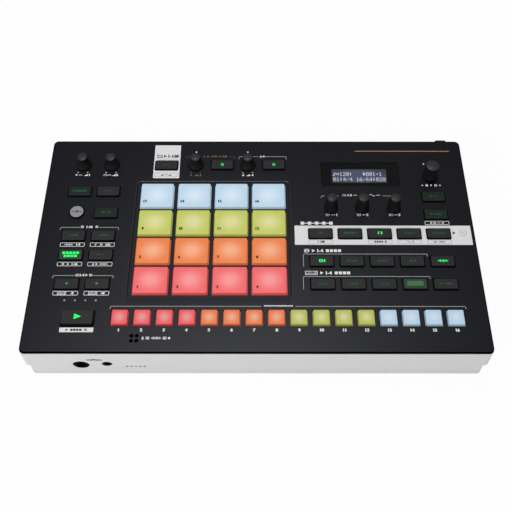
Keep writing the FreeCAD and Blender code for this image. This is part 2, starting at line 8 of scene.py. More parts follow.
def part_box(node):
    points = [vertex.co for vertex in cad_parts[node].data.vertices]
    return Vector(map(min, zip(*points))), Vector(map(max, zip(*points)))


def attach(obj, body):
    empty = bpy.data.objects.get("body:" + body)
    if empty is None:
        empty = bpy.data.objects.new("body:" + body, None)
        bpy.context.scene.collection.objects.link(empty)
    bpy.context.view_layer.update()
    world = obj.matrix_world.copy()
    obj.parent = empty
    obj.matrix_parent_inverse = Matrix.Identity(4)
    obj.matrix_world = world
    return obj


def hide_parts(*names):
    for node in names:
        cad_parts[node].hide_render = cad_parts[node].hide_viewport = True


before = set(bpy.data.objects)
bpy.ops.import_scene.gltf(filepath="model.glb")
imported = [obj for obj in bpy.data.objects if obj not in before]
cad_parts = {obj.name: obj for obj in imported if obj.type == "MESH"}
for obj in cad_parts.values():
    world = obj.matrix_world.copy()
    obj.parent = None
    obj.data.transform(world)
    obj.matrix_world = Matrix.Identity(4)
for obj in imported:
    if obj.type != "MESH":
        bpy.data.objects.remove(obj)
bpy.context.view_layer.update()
scene = bpy.context.scene

MM = 0.001
PANEL_LOW, PANEL_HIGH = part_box("top_panel")
PANEL_TOP = PANEL_HIGH.z / MM
PANEL_UNDER = PANEL_TOP - 2.0
PANEL_WIDTH = 436.0
PANEL_DEPTH = 245.0
PANEL_CORNER = 5.0
MIDDLE = (PANEL_WIDTH / 2, PANEL_DEPTH / 2)
INK_THICK = 0.05
WELD = 1e-6

# Camera: place in millimetres, tilt and roll in degrees, focal length and vertical shift
CAMERA_PLACE = (-0.68, -461.20, 807.25)
CAMERA_PITCH = 53.150
CAMERA_ROLL = 0.045
CAMERA_LENS = 61.970
CAMERA_SHIFT_Y = -0.19832

# Keys and pads: middles, widths and depths
LEFT_COLUMNS = (35.5, 65.0)
TRACK_COLUMNS = [281.75 + 29.5 * i for i in range(5)]
PAD_COLUMNS = [115.7 + 38.25 * i for i in range(4)]
PAD_ROWS = [169.9 - 32.8 * i for i in range(4)]
PAD_SIZE = (32.9, 28.5)
PAD_FOOT = (24.0, 20.0)
STEP_COLUMNS = [89.75 + 21.0 * i for i in range(16)]
STEP_ROW = 209.2
STEP_SIZE = (14.9, 14.9)
KEY_SIZE = (22.6, 10.9)
START_SIZE = (29.7, 14.0)
START_SPOT = (50.6, 210.1)
ROUND_KEY_SPOT = (35.5, 91.8)
ROUND_KEY_RADIUS = 6.8
KEY_GAP = 0.9
KEY_LIP = 1.9
PAD_LIP = 1.6
LIP_THICK = 1.2
SMALL_KEYS = {
    "key_project": [(123.0, 32.7)],
    "key_effect_on": [(181.8, 32.4)],
    "key_mic_on": [(236.1, 32.4)],
    "key_shift": [(LEFT_COLUMNS[0], 66.4)],
    "key_undo": [(LEFT_COLUMNS[1], 66.4)],
    "key_copy": [(LEFT_COLUMNS[1], 92.8)],
    "key_exit": [(TRACK_COLUMNS[4], 72.7)],
    "key_system": [(TRACK_COLUMNS[4], 94.5)],
    "pad_mode_keys": [(x, y) for y in (119.9, 142.1) for x in LEFT_COLUMNS],
    "measure_keys": [(x, 173.9) for x in LEFT_COLUMNS],
    "workflow_keys": [(x, 117.0) for x in TRACK_COLUMNS],
    "drum_track_keys": [(x, 148.8) for x in TRACK_COLUMNS],
    "melodic_track_keys": [(x, 173.9) for x in TRACK_COLUMNS],
}

# Gap in front of the panel; bay of the pads, display, lamps, microphone and knobs. Outlines are
# given as middle from the left and from the rear, width, depth and corner radius
FRONT_GAP = 0.7
BAY = (172.7, 121.0, 157.0, 134.5, 3.5)
FRAME_TOP = PANEL_TOP - 1.2
FRAME_UNDER = FRAME_TOP - 2.0
WINDOW = (326.4, 43.7, 81.8, 30.5, 1.0)
WINDOW_THICK = 1.2
LCD_OPENING = (325.4, 45.3, 61.0, 20.4, 0.4)
LCD_LIT = (325.5, 45.05, 57.2, 17.3, 0.3)
LCD_GLASS = 53.6
LCD_BODY_FOOT = 45.6
LCD_BODY_TOP = 53.0
LED_ROW = 191.0
LED_COLUMNS = [35.6 + 9.93 * i for i in range(4)]
LED_RADIUS = 1.1
MIC_HOLES = [(x, y) for x in (102.2, 107.2) for y in (227.3, 232.3)]
MIC_HOLE = 1.65
KNOB_SPOTS = {
    "knob_volume": (35.5, 31.4), "knob_phones": (65.2, 31.4), "knob_tune": (153.8, 31.4),
    "knob_gain": (208.6, 31.4), "knob_ctrl_1": (293.8, 85.8), "knob_ctrl_2": (325.5, 85.8),
    "knob_ctrl_3": (357.8, 85.8), "knob_value": (399.6, 45.6),
}
SHAFT_HOLE = 3.6
SHAFT_RADIUS = 3.0
SHAFT_FOOT = 52.0

# Case
RIM_INSET = 0.3
PLINTH_INSET = 2.9
WALL = 2.5
FOOT_HEIGHT = 2.5
FLOOR_TOP = 5.0
LEDGE_Z = 28.0
SCREWS = [(x, y) for x in (8.2, 427.8) for y in (20.0, 122.0, 232.0)]
POSTS = [(30.0, 30.0), (30.0, 190.0), (200.0, 120.0), (400.0, 60.0), (400.0, 215.0), (300.0, 190.0)]
FEET = [(30.0, 30.0), (406.0, 30.0), (30.0, 215.0), (406.0, 215.0)]
REAR_Z = 37.0
JACK_LEFTS = (214.0, 266.0, 290.0)
MINI_LEFTS = (318.0, 336.0)
USB_LEFT = 364.0
INLET_LEFT = 390.0
LOCK_SPOT = (20.0, 38.5)
POWER_SPOT = (417.0, 47.6)
LARGE_JACK = (53.8, 28.4)
SMALL_JACK = (78.4, 30.6)
SOCKET_FACE = 5.8
FRONT_DOTS = [95.7 + 4.1 * i for i in range(5)]
FRONT_DOTS_Z = 19.7
FRONT_DOTS_DEPTH = 0.15
MAIN_BOARD_TOP = 21.9

# Mouths of openings are shaped this far off the wall, so that no two faces coincide
OFF_WALL = 0.01


def place(from_left, from_rear, z=PANEL_TOP):
    """Point in metres of a place on the panel, at a height in millimetres."""
    return Vector((PANEL_LOW.x + from_left * MM, PANEL_HIGH.y - from_rear * MM, z * MM))


def heights(node):
    """Lowest and highest point of a node, in millimetres over the ground."""
    return [corner.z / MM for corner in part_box(node)]


def tone(red, green, blue):
    """Colour of a surface, from its 8-bit screen values."""
    shares = [value / 255 for value in (red, green, blue)]
    return tuple(s / 12.92 if s <= 0.04045 else ((s + 0.055) / 1.055) ** 2.4 for s in shares)


# Materials

class Shader:
    """A node material under construction: a Principled shader and short calls for its nodes."""

    def __init__(self, name, color, roughness, specular=0.5):
        self.material = bpy.data.materials.new(name)
        self.material.use_nodes = True
        self.tree = self.material.node_tree
        self.bsdf = self.tree.nodes["Principled BSDF"]
        self.set("Base Color", (*color, 1.0))
        self.set("Roughness", roughness)
        self.set("Specular IOR Level", specular)

    def set(self, socket, value):
        self.bsdf.inputs[socket].default_value = value

    def node(self, kind, **values):
        """New node, with values for its properties or its inputs."""
        made = self.tree.nodes.new(kind)
        for key, value in values.items():
            if key in made.inputs:
                made.inputs[key].default_value = value
            else:
                setattr(made, key, value)
        return made

    def link(self, source, target):
        self.tree.links.new(source, target)

    def drive(self, source, *sockets):
        """Lead a source to sockets of the Principled shader."""
        for socket in sockets:
            self.link(source, self.bsdf.inputs[socket])

    def calculated(self, operation, *values):
        """Result of a calculation with sockets and numbers."""
        made = self.node("ShaderNodeMath", operation=operation)
        for socket, value in zip(made.inputs, values):
            if isinstance(value, float):
                socket.default_value = value
            else:
                self.link(value, socket)
        return made.outputs["Value"]

    def place(self):
        """Place on the object."""
        return self.node("ShaderNodeTexCoord").outputs["Object"]

    def noise(self, size, detail=3.0):
        """Noise whose lumps are about size millimetres wide."""
        made = self.node("ShaderNodeTexNoise", Scale=1.0 / (size * MM), Detail=detail, Roughness=0.5)
        self.link(self.place(), made.inputs["Vector"])
        return made.outputs["Fac"]

    def ranged(self, source, low, high):
        """Noise spread over a range of values."""
        made = self.node("ShaderNodeMapRange")
        for socket, value in (("From Min", 0.3), ("From Max", 0.7), ("To Min", low), ("To Max", high)):
            made.inputs[socket].default_value = value
        self.link(source, made.inputs["Value"])
        return made.outputs["Result"]

    def mixed(self, factor, first, second):
        """Colour mix of two colours by a factor socket; the first may be a socket too."""
        made = self.node("ShaderNodeMix", data_type="RGBA")
        colours = [socket for socket in made.inputs if socket.type == "RGBA"]
        if isinstance(first, tuple):
            colours[0].default_value = (*first, 1.0)
        else:
            self.link(first, colours[0])
        colours[1].default_value = (*second, 1.0)
        self.link(factor, made.inputs["Factor"])
        return [socket for socket in made.outputs if socket.type == "RGBA"][0]

    def over_lamp(self, edge, centre, reach=1.0):
        """Colour of the centre over a lamp that turns into that of the edge; reach is where, as a
        share, the centre is full."""
        ball = self.node("ShaderNodeTexGradient", gradient_type="SPHERICAL")
        self.link(self.node("ShaderNodeUVMap", uv_map="lamp").outputs["UV"], ball.inputs["Vector"])
        ramp = self.node("ShaderNodeValToRGB")
        ramp.color_ramp.interpolation = "EASE"
        ends = ramp.color_ramp.elements
        ends[0].color = (*edge, 1.0)
        ends[1].color = (*centre, 1.0)
        ends[1].position = reach
        self.link(ball.outputs["Fac"], ramp.inputs["Fac"])
        return ramp.outputs["Color"]

    def bump(self, source, strength, distance):
        made = self.node("ShaderNodeBump", Strength=strength, Distance=distance * MM)
        self.link(source, made.inputs["Height"])
        self.drive(made.outputs["Normal"], "Normal")


def moulded(name, color, roughness, specular=0.5, grain=0.35, bump=0.12, drift=0.12, tint=(1.0, 1.0, 1.0)):
    """Moulded plastic: fine spark-eroded grain, soft drift of tone and of gloss."""
    shader = Shader(name, color, roughness, specular)
    shader.set("Specular Tint", (*tint, 1.0))
    fine = shader.noise(grain, 2.0)
    shader.bump(fine, bump, 0.04)
    shader.drive(shader.ranged(fine, roughness - 0.04, roughness + 0.06), "Roughness")
    darker = tuple(c * (1 - drift) for c in color)
    shader.drive(shader.mixed(shader.noise(45.0), darker, color), "Base Color")
    return shader.material


def lit(name, edge, centre):
    """Translucent silicone lit from behind: bright over the lamp, deeper towards the edges."""
    shader = Shader(name, edge, 0.42, 0.3)
    shader.drive(shader.over_lamp(edge, centre), "Base Color", "Emission Color")
    shader.set("Emission Strength", PAD_GLOW)
    shader.bump(shader.noise(0.3, 2.0), 0.06, 0.03)
    return shader.material


def glowing(name, color, glow):
    """Lit mark or panel of one colour, with a slight unevenness of its light."""
    shader = Shader(name, color, 0.6, 0.2)
    faint = tuple(c * 0.8 for c in color)
    shader.drive(shader.mixed(shader.noise(1.2, 2.0), faint, color), "Base Color", "Emission Color")
    shader.set("Emission Strength", glow)
    return shader.material


def printed(name, color, roughness=0.55):
    """Screen-printed ink."""
    return moulded(name, color, roughness, 0.25, grain=0.6, bump=0.05, drift=0.05)


def metal(name, color, roughness):
    """Brushed metal part."""
    shader = Shader(name, color, roughness)
    shader.set("Metallic", 1.0)
    fine = shader.noise(0.8)
    shader.drive(shader.ranged(fine, roughness - 0.08, roughness + 0.1), "Roughness")
    shader.bump(fine, 0.1, 0.02)
    return shader.material


def clear(name, color, veil):
    """Clear acrylic, faintly smoked and wiped not quite evenly: it veils what lies under it."""
    shader = Shader(name, color, 0.1, 0.5)
    shader.set("Alpha", veil)
    shader.drive(shader.ranged(shader.noise(14.0), 0.07, 0.13), "Roughness")
    return shader.material


def backlit(name, edge, centre, glow):
    """Liquid crystal over its backlight: dark in itself, its light falls off towards the edges."""
    shader = Shader(name, (0.01, 0.01, 0.012), 0.8, 0.05)
    shader.drive(shader.over_lamp(edge, centre, 0.5), "Emission Color")
    shader.set("Emission Strength", glow)
    return shader.material


def circuit(name, color, top=None, tinned=None):
    """Solder mask with copper tracks showing through it. Parts above the board's top face are black
    plastic, and those in the tinned span (its middle and its half width along X) are bright metal."""
    shader = Shader(name, color, 0.35, 0.3)
    tracks = shader.node("ShaderNodeTexBrick", Scale=60.0)
    spot = shader.place()
    shader.link(spot, tracks.inputs["Vector"])
    lighter = tuple(c * 1.6 + 0.002 for c in color)
    mix = shader.mixed(tracks.outputs["Fac"], color, lighter)
    if top:
        axes = shader.node("ShaderNodeSeparateXYZ")
        shader.link(spot, axes.inputs["Vector"])
        above = shader.calculated("GREATER_THAN", axes.outputs["Z"], top * MM)
        within = shader.calculated("COMPARE", axes.outputs["X"], tinned[0] * MM, tinned[1] * MM)
        bright = shader.calculated("MULTIPLY", above, within)
        mix = shader.mixed(bright, shader.mixed(above, mix, COMPONENT_BLACK), TIN)
        shader.drive(bright, "Metallic")
    shader.drive(mix, "Base Color")
    shader.bump(tracks.outputs["Fac"], 0.2, 0.03)
    return shader.material


TIN = (0.62, 0.60, 0.55)
COMPONENT_BLACK = (0.006, 0.006, 0.0065)


CASE = moulded("case_white", (0.77, 0.77, 0.77), 0.45, 0.4, grain=0.5, bump=0.10, drift=0.03)
PANEL = moulded("panel_black", (0.0011, 0.0013, 0.0029), 0.36, 0.28, grain=0.30, bump=0.10, drift=0.10,
                tint=(0.88, 0.90, 1.0))
# Painted shade: the panel's rounded edges and the walls of its openings take a darker, matte copy of the
# panel black
PANEL_EDGE_SHADE = moulded("panel_edge_painted_shade", (0.0004, 0.0004, 0.0005), 0.9, 0.02, grain=0.30, bump=0.10)
# Painted highlight: the chamfer round the pad bay takes a lighter, glossier copy of the panel black
PANEL_BEVEL_HIGHLIGHT = moulded("panel_bevel_painted_highlight", (0.014, 0.014, 0.015), 0.25, 0.7, grain=0.30, bump=0.05)
FRAME = moulded("pad_frame_black", (0.0045, 0.0052, 0.0075), 0.42, 0.28, grain=0.35, bump=0.10,
                tint=(0.88, 0.90, 1.0))
KEY = moulded("key_dark", (0.021, 0.021, 0.023), 0.5, 0.25, grain=0.25, bump=0.10)
# Painted shade: the sides and lips of the keys take a darker copy of their plastic
KEY_SIDE_SHADE = moulded("key_side_painted_shade", (0.004, 0.004, 0.0045), 0.5, 0.2, grain=0.25, bump=0.10)
# Painted glow: the green of the backlit key faces stands in for the light of their backlight
KEY_LIT = moulded("key_backlit", (0.006, 0.016, 0.010), 0.5, 0.25, grain=0.25, bump=0.10)
KEY_LIT_STRONG = moulded("key_backlit_strong", (0.026, 0.065, 0.032), 0.5, 0.25, grain=0.25, bump=0.10)
KEY_GREY = moulded("key_grey", (0.33, 0.335, 0.35), 0.5, 0.3, grain=0.25, bump=0.08)
KNOB = moulded("knob_black", (0.0080, 0.0080, 0.0082), 0.5, 0.25, grain=0.25, bump=0.12)
KNOB_CAP = moulded("knob_cap", (0.026, 0.026, 0.029), 0.42, 0.35, grain=0.25, bump=0.10)
RUBBER = moulded("rubber_black", (0.02, 0.02, 0.02), 0.8, 0.2, grain=0.6, bump=0.25)
JACK = moulded("jack_black", (0.0035, 0.0035, 0.0035), 0.4, 0.3, grain=0.4)
JACK_RING = moulded("jack_ring", (0.0010, 0.0010, 0.0011), 0.7, 0.04, grain=0.4)
SOCKET = moulded("socket_ring", (0.012, 0.012, 0.012), 0.35, 0.4, grain=0.4)
STEEL = metal("screw_steel", (0.55, 0.55, 0.56), 0.35)
CONTACT = metal("contact_tin", TIN, 0.25)
BOARD = circuit("board_dark", (0.0030, 0.0042, 0.0034))
BOARD_GREEN = circuit("board_green", (0.012, 0.10, 0.035), MAIN_BOARD_TOP + 0.05,
                      (USB_LEFT - PANEL_WIDTH / 2, 6.0))
SENSOR = moulded("sensor_film", (0.02, 0.017, 0.012), 0.35, 0.4, grain=2.0)
LENS = clear("window_clear", (0.003, 0.003, 0.003), 0.35)
WINDOW_INK = moulded("window_black", (0.0095, 0.0105, 0.0088), 0.9, 0.02, grain=0.6, bump=0.05)
LCD_BODY = moulded("display_body", (0.006, 0.006, 0.007), 0.4, 0.3)
LCD = backlit("display_lit", tone(66, 68, 84), tone(87, 91, 116), 1.75)
LCD_DOT = glowing("display_dot", (0.68, 0.69, 0.75), 1.9)
WHITE_INK = printed("ink_white", (0.94, 0.94, 0.95))
SOFT_INK = printed("ink_line", (0.50, 0.50, 0.52))
LIGHT_PLATE = printed("plate_white", (0.89, 0.895, 0.895))
DARK_INK = printed("ink_dark", (0.018, 0.018, 0.022))
FAINT_INK = printed("ink_faint", (0.30, 0.30, 0.31))
MARK_INK = printed("ink_mark", (0.03, 0.03, 0.03))
FELT = moulded("felt_black", (0.0006, 0.0006, 0.0006), 0.95, 0.0, grain=0.5, bump=0.3)
GOLD_INK = printed("ink_gold", (0.42, 0.26, 0.09), 0.4)
BROWN_INK = printed("ink_brown", (0.115, 0.062, 0.036), 0.5)
TAN_INK = printed("ink_tan", (0.26, 0.155, 0.10), 0.5)
NUMBER_INK = printed("ink_number", (0.016, 0.010, 0.008), 0.5)
GREEN_BRIGHT = glowing("legend_bright", (0.02, 0.85, 0.13), 0.75)
GREEN_DIM = glowing("legend_dim", (0.016, 0.10, 0.040), 0.30)
GREEN_SOFT = glowing("legend_soft", (0.05, 0.28, 0.09), 0.45)
GREEN_PANEL = glowing("legend_panel", (0.055, 0.15, 0.062), 0.35)
LAMP_OFF = printed("lamp_off", (0.34, 0.34, 0.35), 0.35)

PAD_GLOW = 0.45

# Screen values of lit caps at the edge, over the lamp and on the sides; the darker side values are painted
# shade
COLOURS = {
    "red": ((216, 91, 92), (226, 137, 138), (198, 78, 80)),
    "orange": ((212, 115, 61), (224, 158, 124), (199, 110, 66)),
    "lime": ((174, 180, 86), (200, 198, 140), (165, 170, 82)),
    "blue": ((170, 193, 211), (194, 209, 221), (164, 186, 203)),
}
# Screen values of the step keys in the same way; their darker side values are painted shade too
STEP_COLOURS = {
    "red": ((208, 78, 84), (204, 134, 130), (176, 62, 68)),
    "orange": ((206, 105, 61), (209, 152, 122), (176, 88, 50)),
    "lime": ((162, 165, 80), (190, 187, 134), (140, 143, 66)),
    "blue": ((163, 187, 205), (185, 199, 212), (146, 168, 186)),
}


def lit_set(prefix, colours):
    """Materials of lit caps: their face, and their sides in a darker copy that is painted shade."""
    made = {}
    for colour, values in colours.items():
        edge, centre, side = (tone(*value) for value in values)
        made[colour] = (lit(f"{prefix}_{colour}", edge, centre), lit(f"{prefix}_{colour}_side", side, side))
    return made


LIT_PADS = lit_set("pad", COLOURS)
LIT_STEPS = lit_set("step", STEP_COLOURS)


# Building meshes

def put(name, data):
    """New object in the scene."""
    made = bpy.data.objects.new(name, data)
    scene.collection.objects.link(made)
    return made


def mesh_of(made, name="part"):
    """Mesh out of a bmesh, which ends here."""
    mesh = bpy.data.meshes.new(name)
    made.to_mesh(mesh)
    made.free()
    return mesh


def finish_piece(name, made, materials, body="chassis", replaces=None, smooth=35.0, weighted=False):
    """Piece out of a bmesh, riding on a body, in the place of the node it dresses."""
    bmesh.ops.recalc_face_normals(made, faces=made.faces)
    mesh = mesh_of(made, name)
    mesh.shade_smooth()
    mesh.set_sharp_from_angle(angle=math.radians(smooth))
    for material in materials if isinstance(materials, tuple) else (materials,):
        mesh.materials.append(material)
    piece = put(name, mesh)
    if weighted:
        piece.modifiers.new("weighted", "WEIGHTED_NORMAL").keep_sharp = True
    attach(piece, body)
    if replaces:
        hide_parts(replaces)


def outline(width, depth, radius, steps=5):
    """Points of a rounded rectangle about the origin, counter-clockwise, in millimetres."""
    radius = min(radius, width / 2, depth / 2)
    points = []
    for turn, (sx, sy) in enumerate(((1, 1), (-1, 1), (-1, -1), (1, -1))):
        cx, cy = sx * (width / 2 - radius), sy * (depth / 2 - radius)
        for i in range(steps + 1):
            angle = math.radians(90 * turn + 90 * i / steps)
            points.append((cx + radius * math.cos(angle), cy + radius * math.sin(angle)))
    return points


def circle(radius, steps=48):
    """Points of a circle about the origin."""
    turns = [2 * math.pi * i / steps for i in range(steps)]
    return [(radius * math.cos(t), radius * math.sin(t)) for t in turns]


def lofted(levels, sizes=(1.0, 1.0), centre=Vector((0, 0, 0)), bands=None):
    """Closed solid through rings of points in metres. Bands gives the material of each band of
    faces from the first ring on, and of the last face; UVs are offsets from the centre over sizes."""
    made = bmesh.new()
    lamp = made.loops.layers.uv.new("lamp")
    rings = [[made.verts.new(point) for point in level] for level in levels]
    count = len(rings[0])
    finishes = bands or [0] * len(rings)
    for (lower, upper), finish in zip(zip(rings, rings[1:]), finishes):
        for i in range(count):
            k = (i + 1) % count
            made.faces.new((lower[i], lower[k], upper[k], upper[i])).material_index = finish
    made.faces.new(rings[0]).material_index = finishes[0]
    made.faces.new(rings[-1]).material_index = finishes[len(rings) - 1]
    for face in made.faces:
        for loop in face.loops:
            offset = (loop.vert.co - centre) / MM
            loop[lamp].uv = (offset.x / sizes[0], offset.y / sizes[1])
    bmesh.ops.remove_doubles(made, verts=made.verts, dist=WELD)
    return made


def stack(rings, from_left, from_rear, sizes=(1.0, 1.0), bands=None):
    """Closed solid through level rings of (points, height)."""
    centre = place(from_left, from_rear, 0)
    levels = [[centre + Vector((x * MM, y * MM, z * MM)) for x, y in points] for points, z in rings]
    return lofted(levels, sizes, centre, bands)


def tube(profile, from_left, height, steps=48):
    """Solid of revolution about an axis that runs to the front, through (radius, distance from the
    rear) points."""
    return along_y([(circle(radius, steps), from_rear) for radius, from_rear in profile], from_left, height)


def along_y(rings, from_left, height):
    """Closed solid through upright rings of (points in X and Z, distance from the rear)."""
    levels = []
    for points, from_rear in rings:
        levels.append([place(from_left + x, from_rear, height + z) for x, z in points])
    return lofted(levels)


def cap(spot, size, low, top, corner, edge, crown, lip, reach=0.52, foot=None, bands=3):
    """Key or pad cap: an optional foot, the lip that holds it, straight sides, a rounded edge and
    a slightly crowned face. Lip is (how far it stands out, its lower and its upper height)."""
    width, depth = size
    out, lip_low, lip_top = lip
    wide = outline(width + 2 * out, depth + 2 * out, 0.6)
    rings = [(outline(*foot, 0.6), low), (outline(*foot, 0.6), lip_low)] if foot else []
    rings += [(wide, lip_low), (wide, lip_top), (outline(width, depth, corner), lip_top)]
    sides = len(rings)
    for i in range(5):
        angle = math.radians(90 * i / 4)
        inset = edge * (1 - math.cos(angle))
        z = top - crown - edge * (1 - math.sin(angle))
        rings.append((outline(width - 2 * inset, depth - 2 * inset, max(corner - inset, 0.2)), z))
    edges = len(rings)
    half = min(width, depth) / 2
    for share in (0.12, 0.3, 0.55, 0.8, 0.96):
        inset = edge + share * (half - edge)
        rise = crown * (1 - (1 - share) ** 2)
        corner_here = max(corner - edge, 0.2) + share * (half - inset) * 0.5
        rings.append((outline(width - 2 * inset, depth - 2 * inset, corner_here), top - crown + rise))
    finishes = [1] * (sides + 1) + [2 if bands == 3 else 0] * (edges - sides - 2)
    finishes += [0] * (len(rings) - len(finishes))
    return stack(rings, *spot, (width * reach, depth * reach), finishes)


def turned(from_left, from_rear, profile, steps=72, ribs=0, depth=0.0):
    """Solid of revolution through (radius, height) points, in millimetres over the ground. Points
    with a third value carry the ribs."""
    rings = []
    for radius, z, *ribbed in profile:
        points = []
        for i in range(steps):
            angle = 2 * math.pi * i / steps
            cut = depth * (0.5 + 0.5 * math.cos(ribs * angle)) if ribbed else 0.0
            points.append(((radius - cut) * math.cos(angle), (radius - cut) * math.sin(angle)))
        rings.append((points, z))
    return stack(rings, from_left, from_rear)


def close_up(made, weld):
    """Weld the double points of a bmesh and fill its holes."""
    bmesh.ops.remove_doubles(made, verts=made.verts, dist=weld)
    bmesh.ops.holes_fill(made, edges=[edge for edge in made.edges if edge.is_boundary], sides=0)


def combined(first, second, operation):
    """Mesh of two closed ones joined or cut, as a bmesh."""
    holders = []
    for made in (first, second):
        bmesh.ops.recalc_face_normals(made, faces=made.faces)
        holders.append(put("part", mesh_of(made)))
    step = holders[0].modifiers.new("step", "BOOLEAN")
    step.object = holders[1]
    step.operation = operation
    step.solver = "EXACT"
    graph = bpy.context.evaluated_depsgraph_get()
    result = bmesh.new()
    result.from_mesh(bpy.data.meshes.new_from_object(holders[0].evaluated_get(graph)))
    for holder in holders:
        bpy.data.objects.remove(holder)
    bmesh.ops.remove_doubles(result, verts=result.verts, dist=WELD)
    bmesh.ops.dissolve_degenerate(result, edges=result.edges, dist=WELD)
    return result


def joined(parts):
    """One bmesh out of several separate ones."""
    made = bmesh.new()
    for part in parts:
        mesh = mesh_of(part)
        made.from_mesh(mesh)
        bpy.data.meshes.remove(mesh)
    return made


class Sheet:
    """Plate built in millimetres from walls round its outlines and level faces between them."""

    def __init__(self):
        self.mesh = bmesh.new()

    def wall(self, shape, profile, finishes=None):
        """Rings round a shape (from_left, from_rear, width, depth, corner) at each (growth, height)
        of the profile, with a material for each band. Returns the first and the last ring."""
        x, y, width, depth, corner = shape
        rings = []
        for grow, z in profile:
            points = outline(width + 2 * grow, depth + 2 * grow, max(corner + grow, 0.05), 6)
            rings.append([self.mesh.verts.new((x + px, -y + py, z)) for px, py in points])
        count = len(rings[0])
        for band, (upper, lower) in enumerate(zip(rings, rings[1:])):
            for i in range(count):
                k = (i + 1) % count
                face = self.mesh.faces.new((upper[i], upper[k], lower[k], lower[i]))
                face.material_index = finishes[band] if finishes else 0
        return rings[0], rings[-1]

    def fill(self, rims):
        """Level face inside the first ring and outside the others, in well-shaped triangles."""
        verts, owners, edges = [], [], []
        for owner, rim in enumerate(rims):
            start = len(verts)
            edges += [(start + i, start + (i + 1) % len(rim)) for i in range(len(rim))]
            verts += rim
            owners += [owner] * len(rim)
        points = [vert.co.xy for vert in verts]
        _, _, triangles, sources, _, _ = geometry.delaunay_2d_cdt(points, edges, [], 1, 1e-4)
        for triangle in triangles:
            corners = [sources[i][0] for i in triangle]
            rings = {owners[corner] for corner in corners}
            if len(rings) > 1 or rings == {0}:
                self.mesh.faces.new([verts[corner] for corner in corners])

    def fill_both(self, pairs):
        """Faces through the first and through the last rings."""
        for rims in zip(*pairs):
            self.fill(rims)

    def done(self):
        origin = Matrix.Translation((PANEL_LOW.x, PANEL_HIGH.y, 0))
        self.mesh.transform(origin @ Matrix.Diagonal((MM, MM, MM, 1.0)))
        return self.mesh


def pierced(name, material, outer, holes, z):
    """Thin plate with holes, each outline given as (from_left, from_rear, width, depth, corner)."""
    sheet = Sheet()
    sheet.fill_both([sheet.wall(shape, [(0, z + INK_THICK), (0, z)]) for shape in (outer, *holes)])
    finish_piece(name, sheet.done(), material, smooth=20.0)


def around(spot, size, gap, corner):
    """Outline that leaves a gap round something of a given size."""
    return (*spot, size[0] + 2 * gap, size[1] + 2 * gap, corner)


def round_shape(x, y, radius):
    """Outline of a round hole."""
    return (x, y, 2 * radius, 2 * radius, radius)


def rounded_opening(shape, top, under, edge=0.3):
    """Profile of an opening's wall with its upper edge rounded."""
    return shape, [(edge, top), (edge * 0.5, top - edge * 0.13), (edge * 0.13, top - edge * 0.5),
                   (0, top - edge), (0, under)]


# Signs: width over height, and strokes in a box of height 1 about the middle, v towards the front

def square(u, v, side):
    """Corners of a square about a point."""
    half = side / 2
    return [(u - half, v - half), (u + half, v - half), (u + half, v + half), (u - half, v + half)]


def bar(u, width, top, bottom):
    """Corners of an upright bar."""
    left, right = u - width / 2, u + width / 2
    return [(left, top), (right, top), (right, bottom), (left, bottom)]


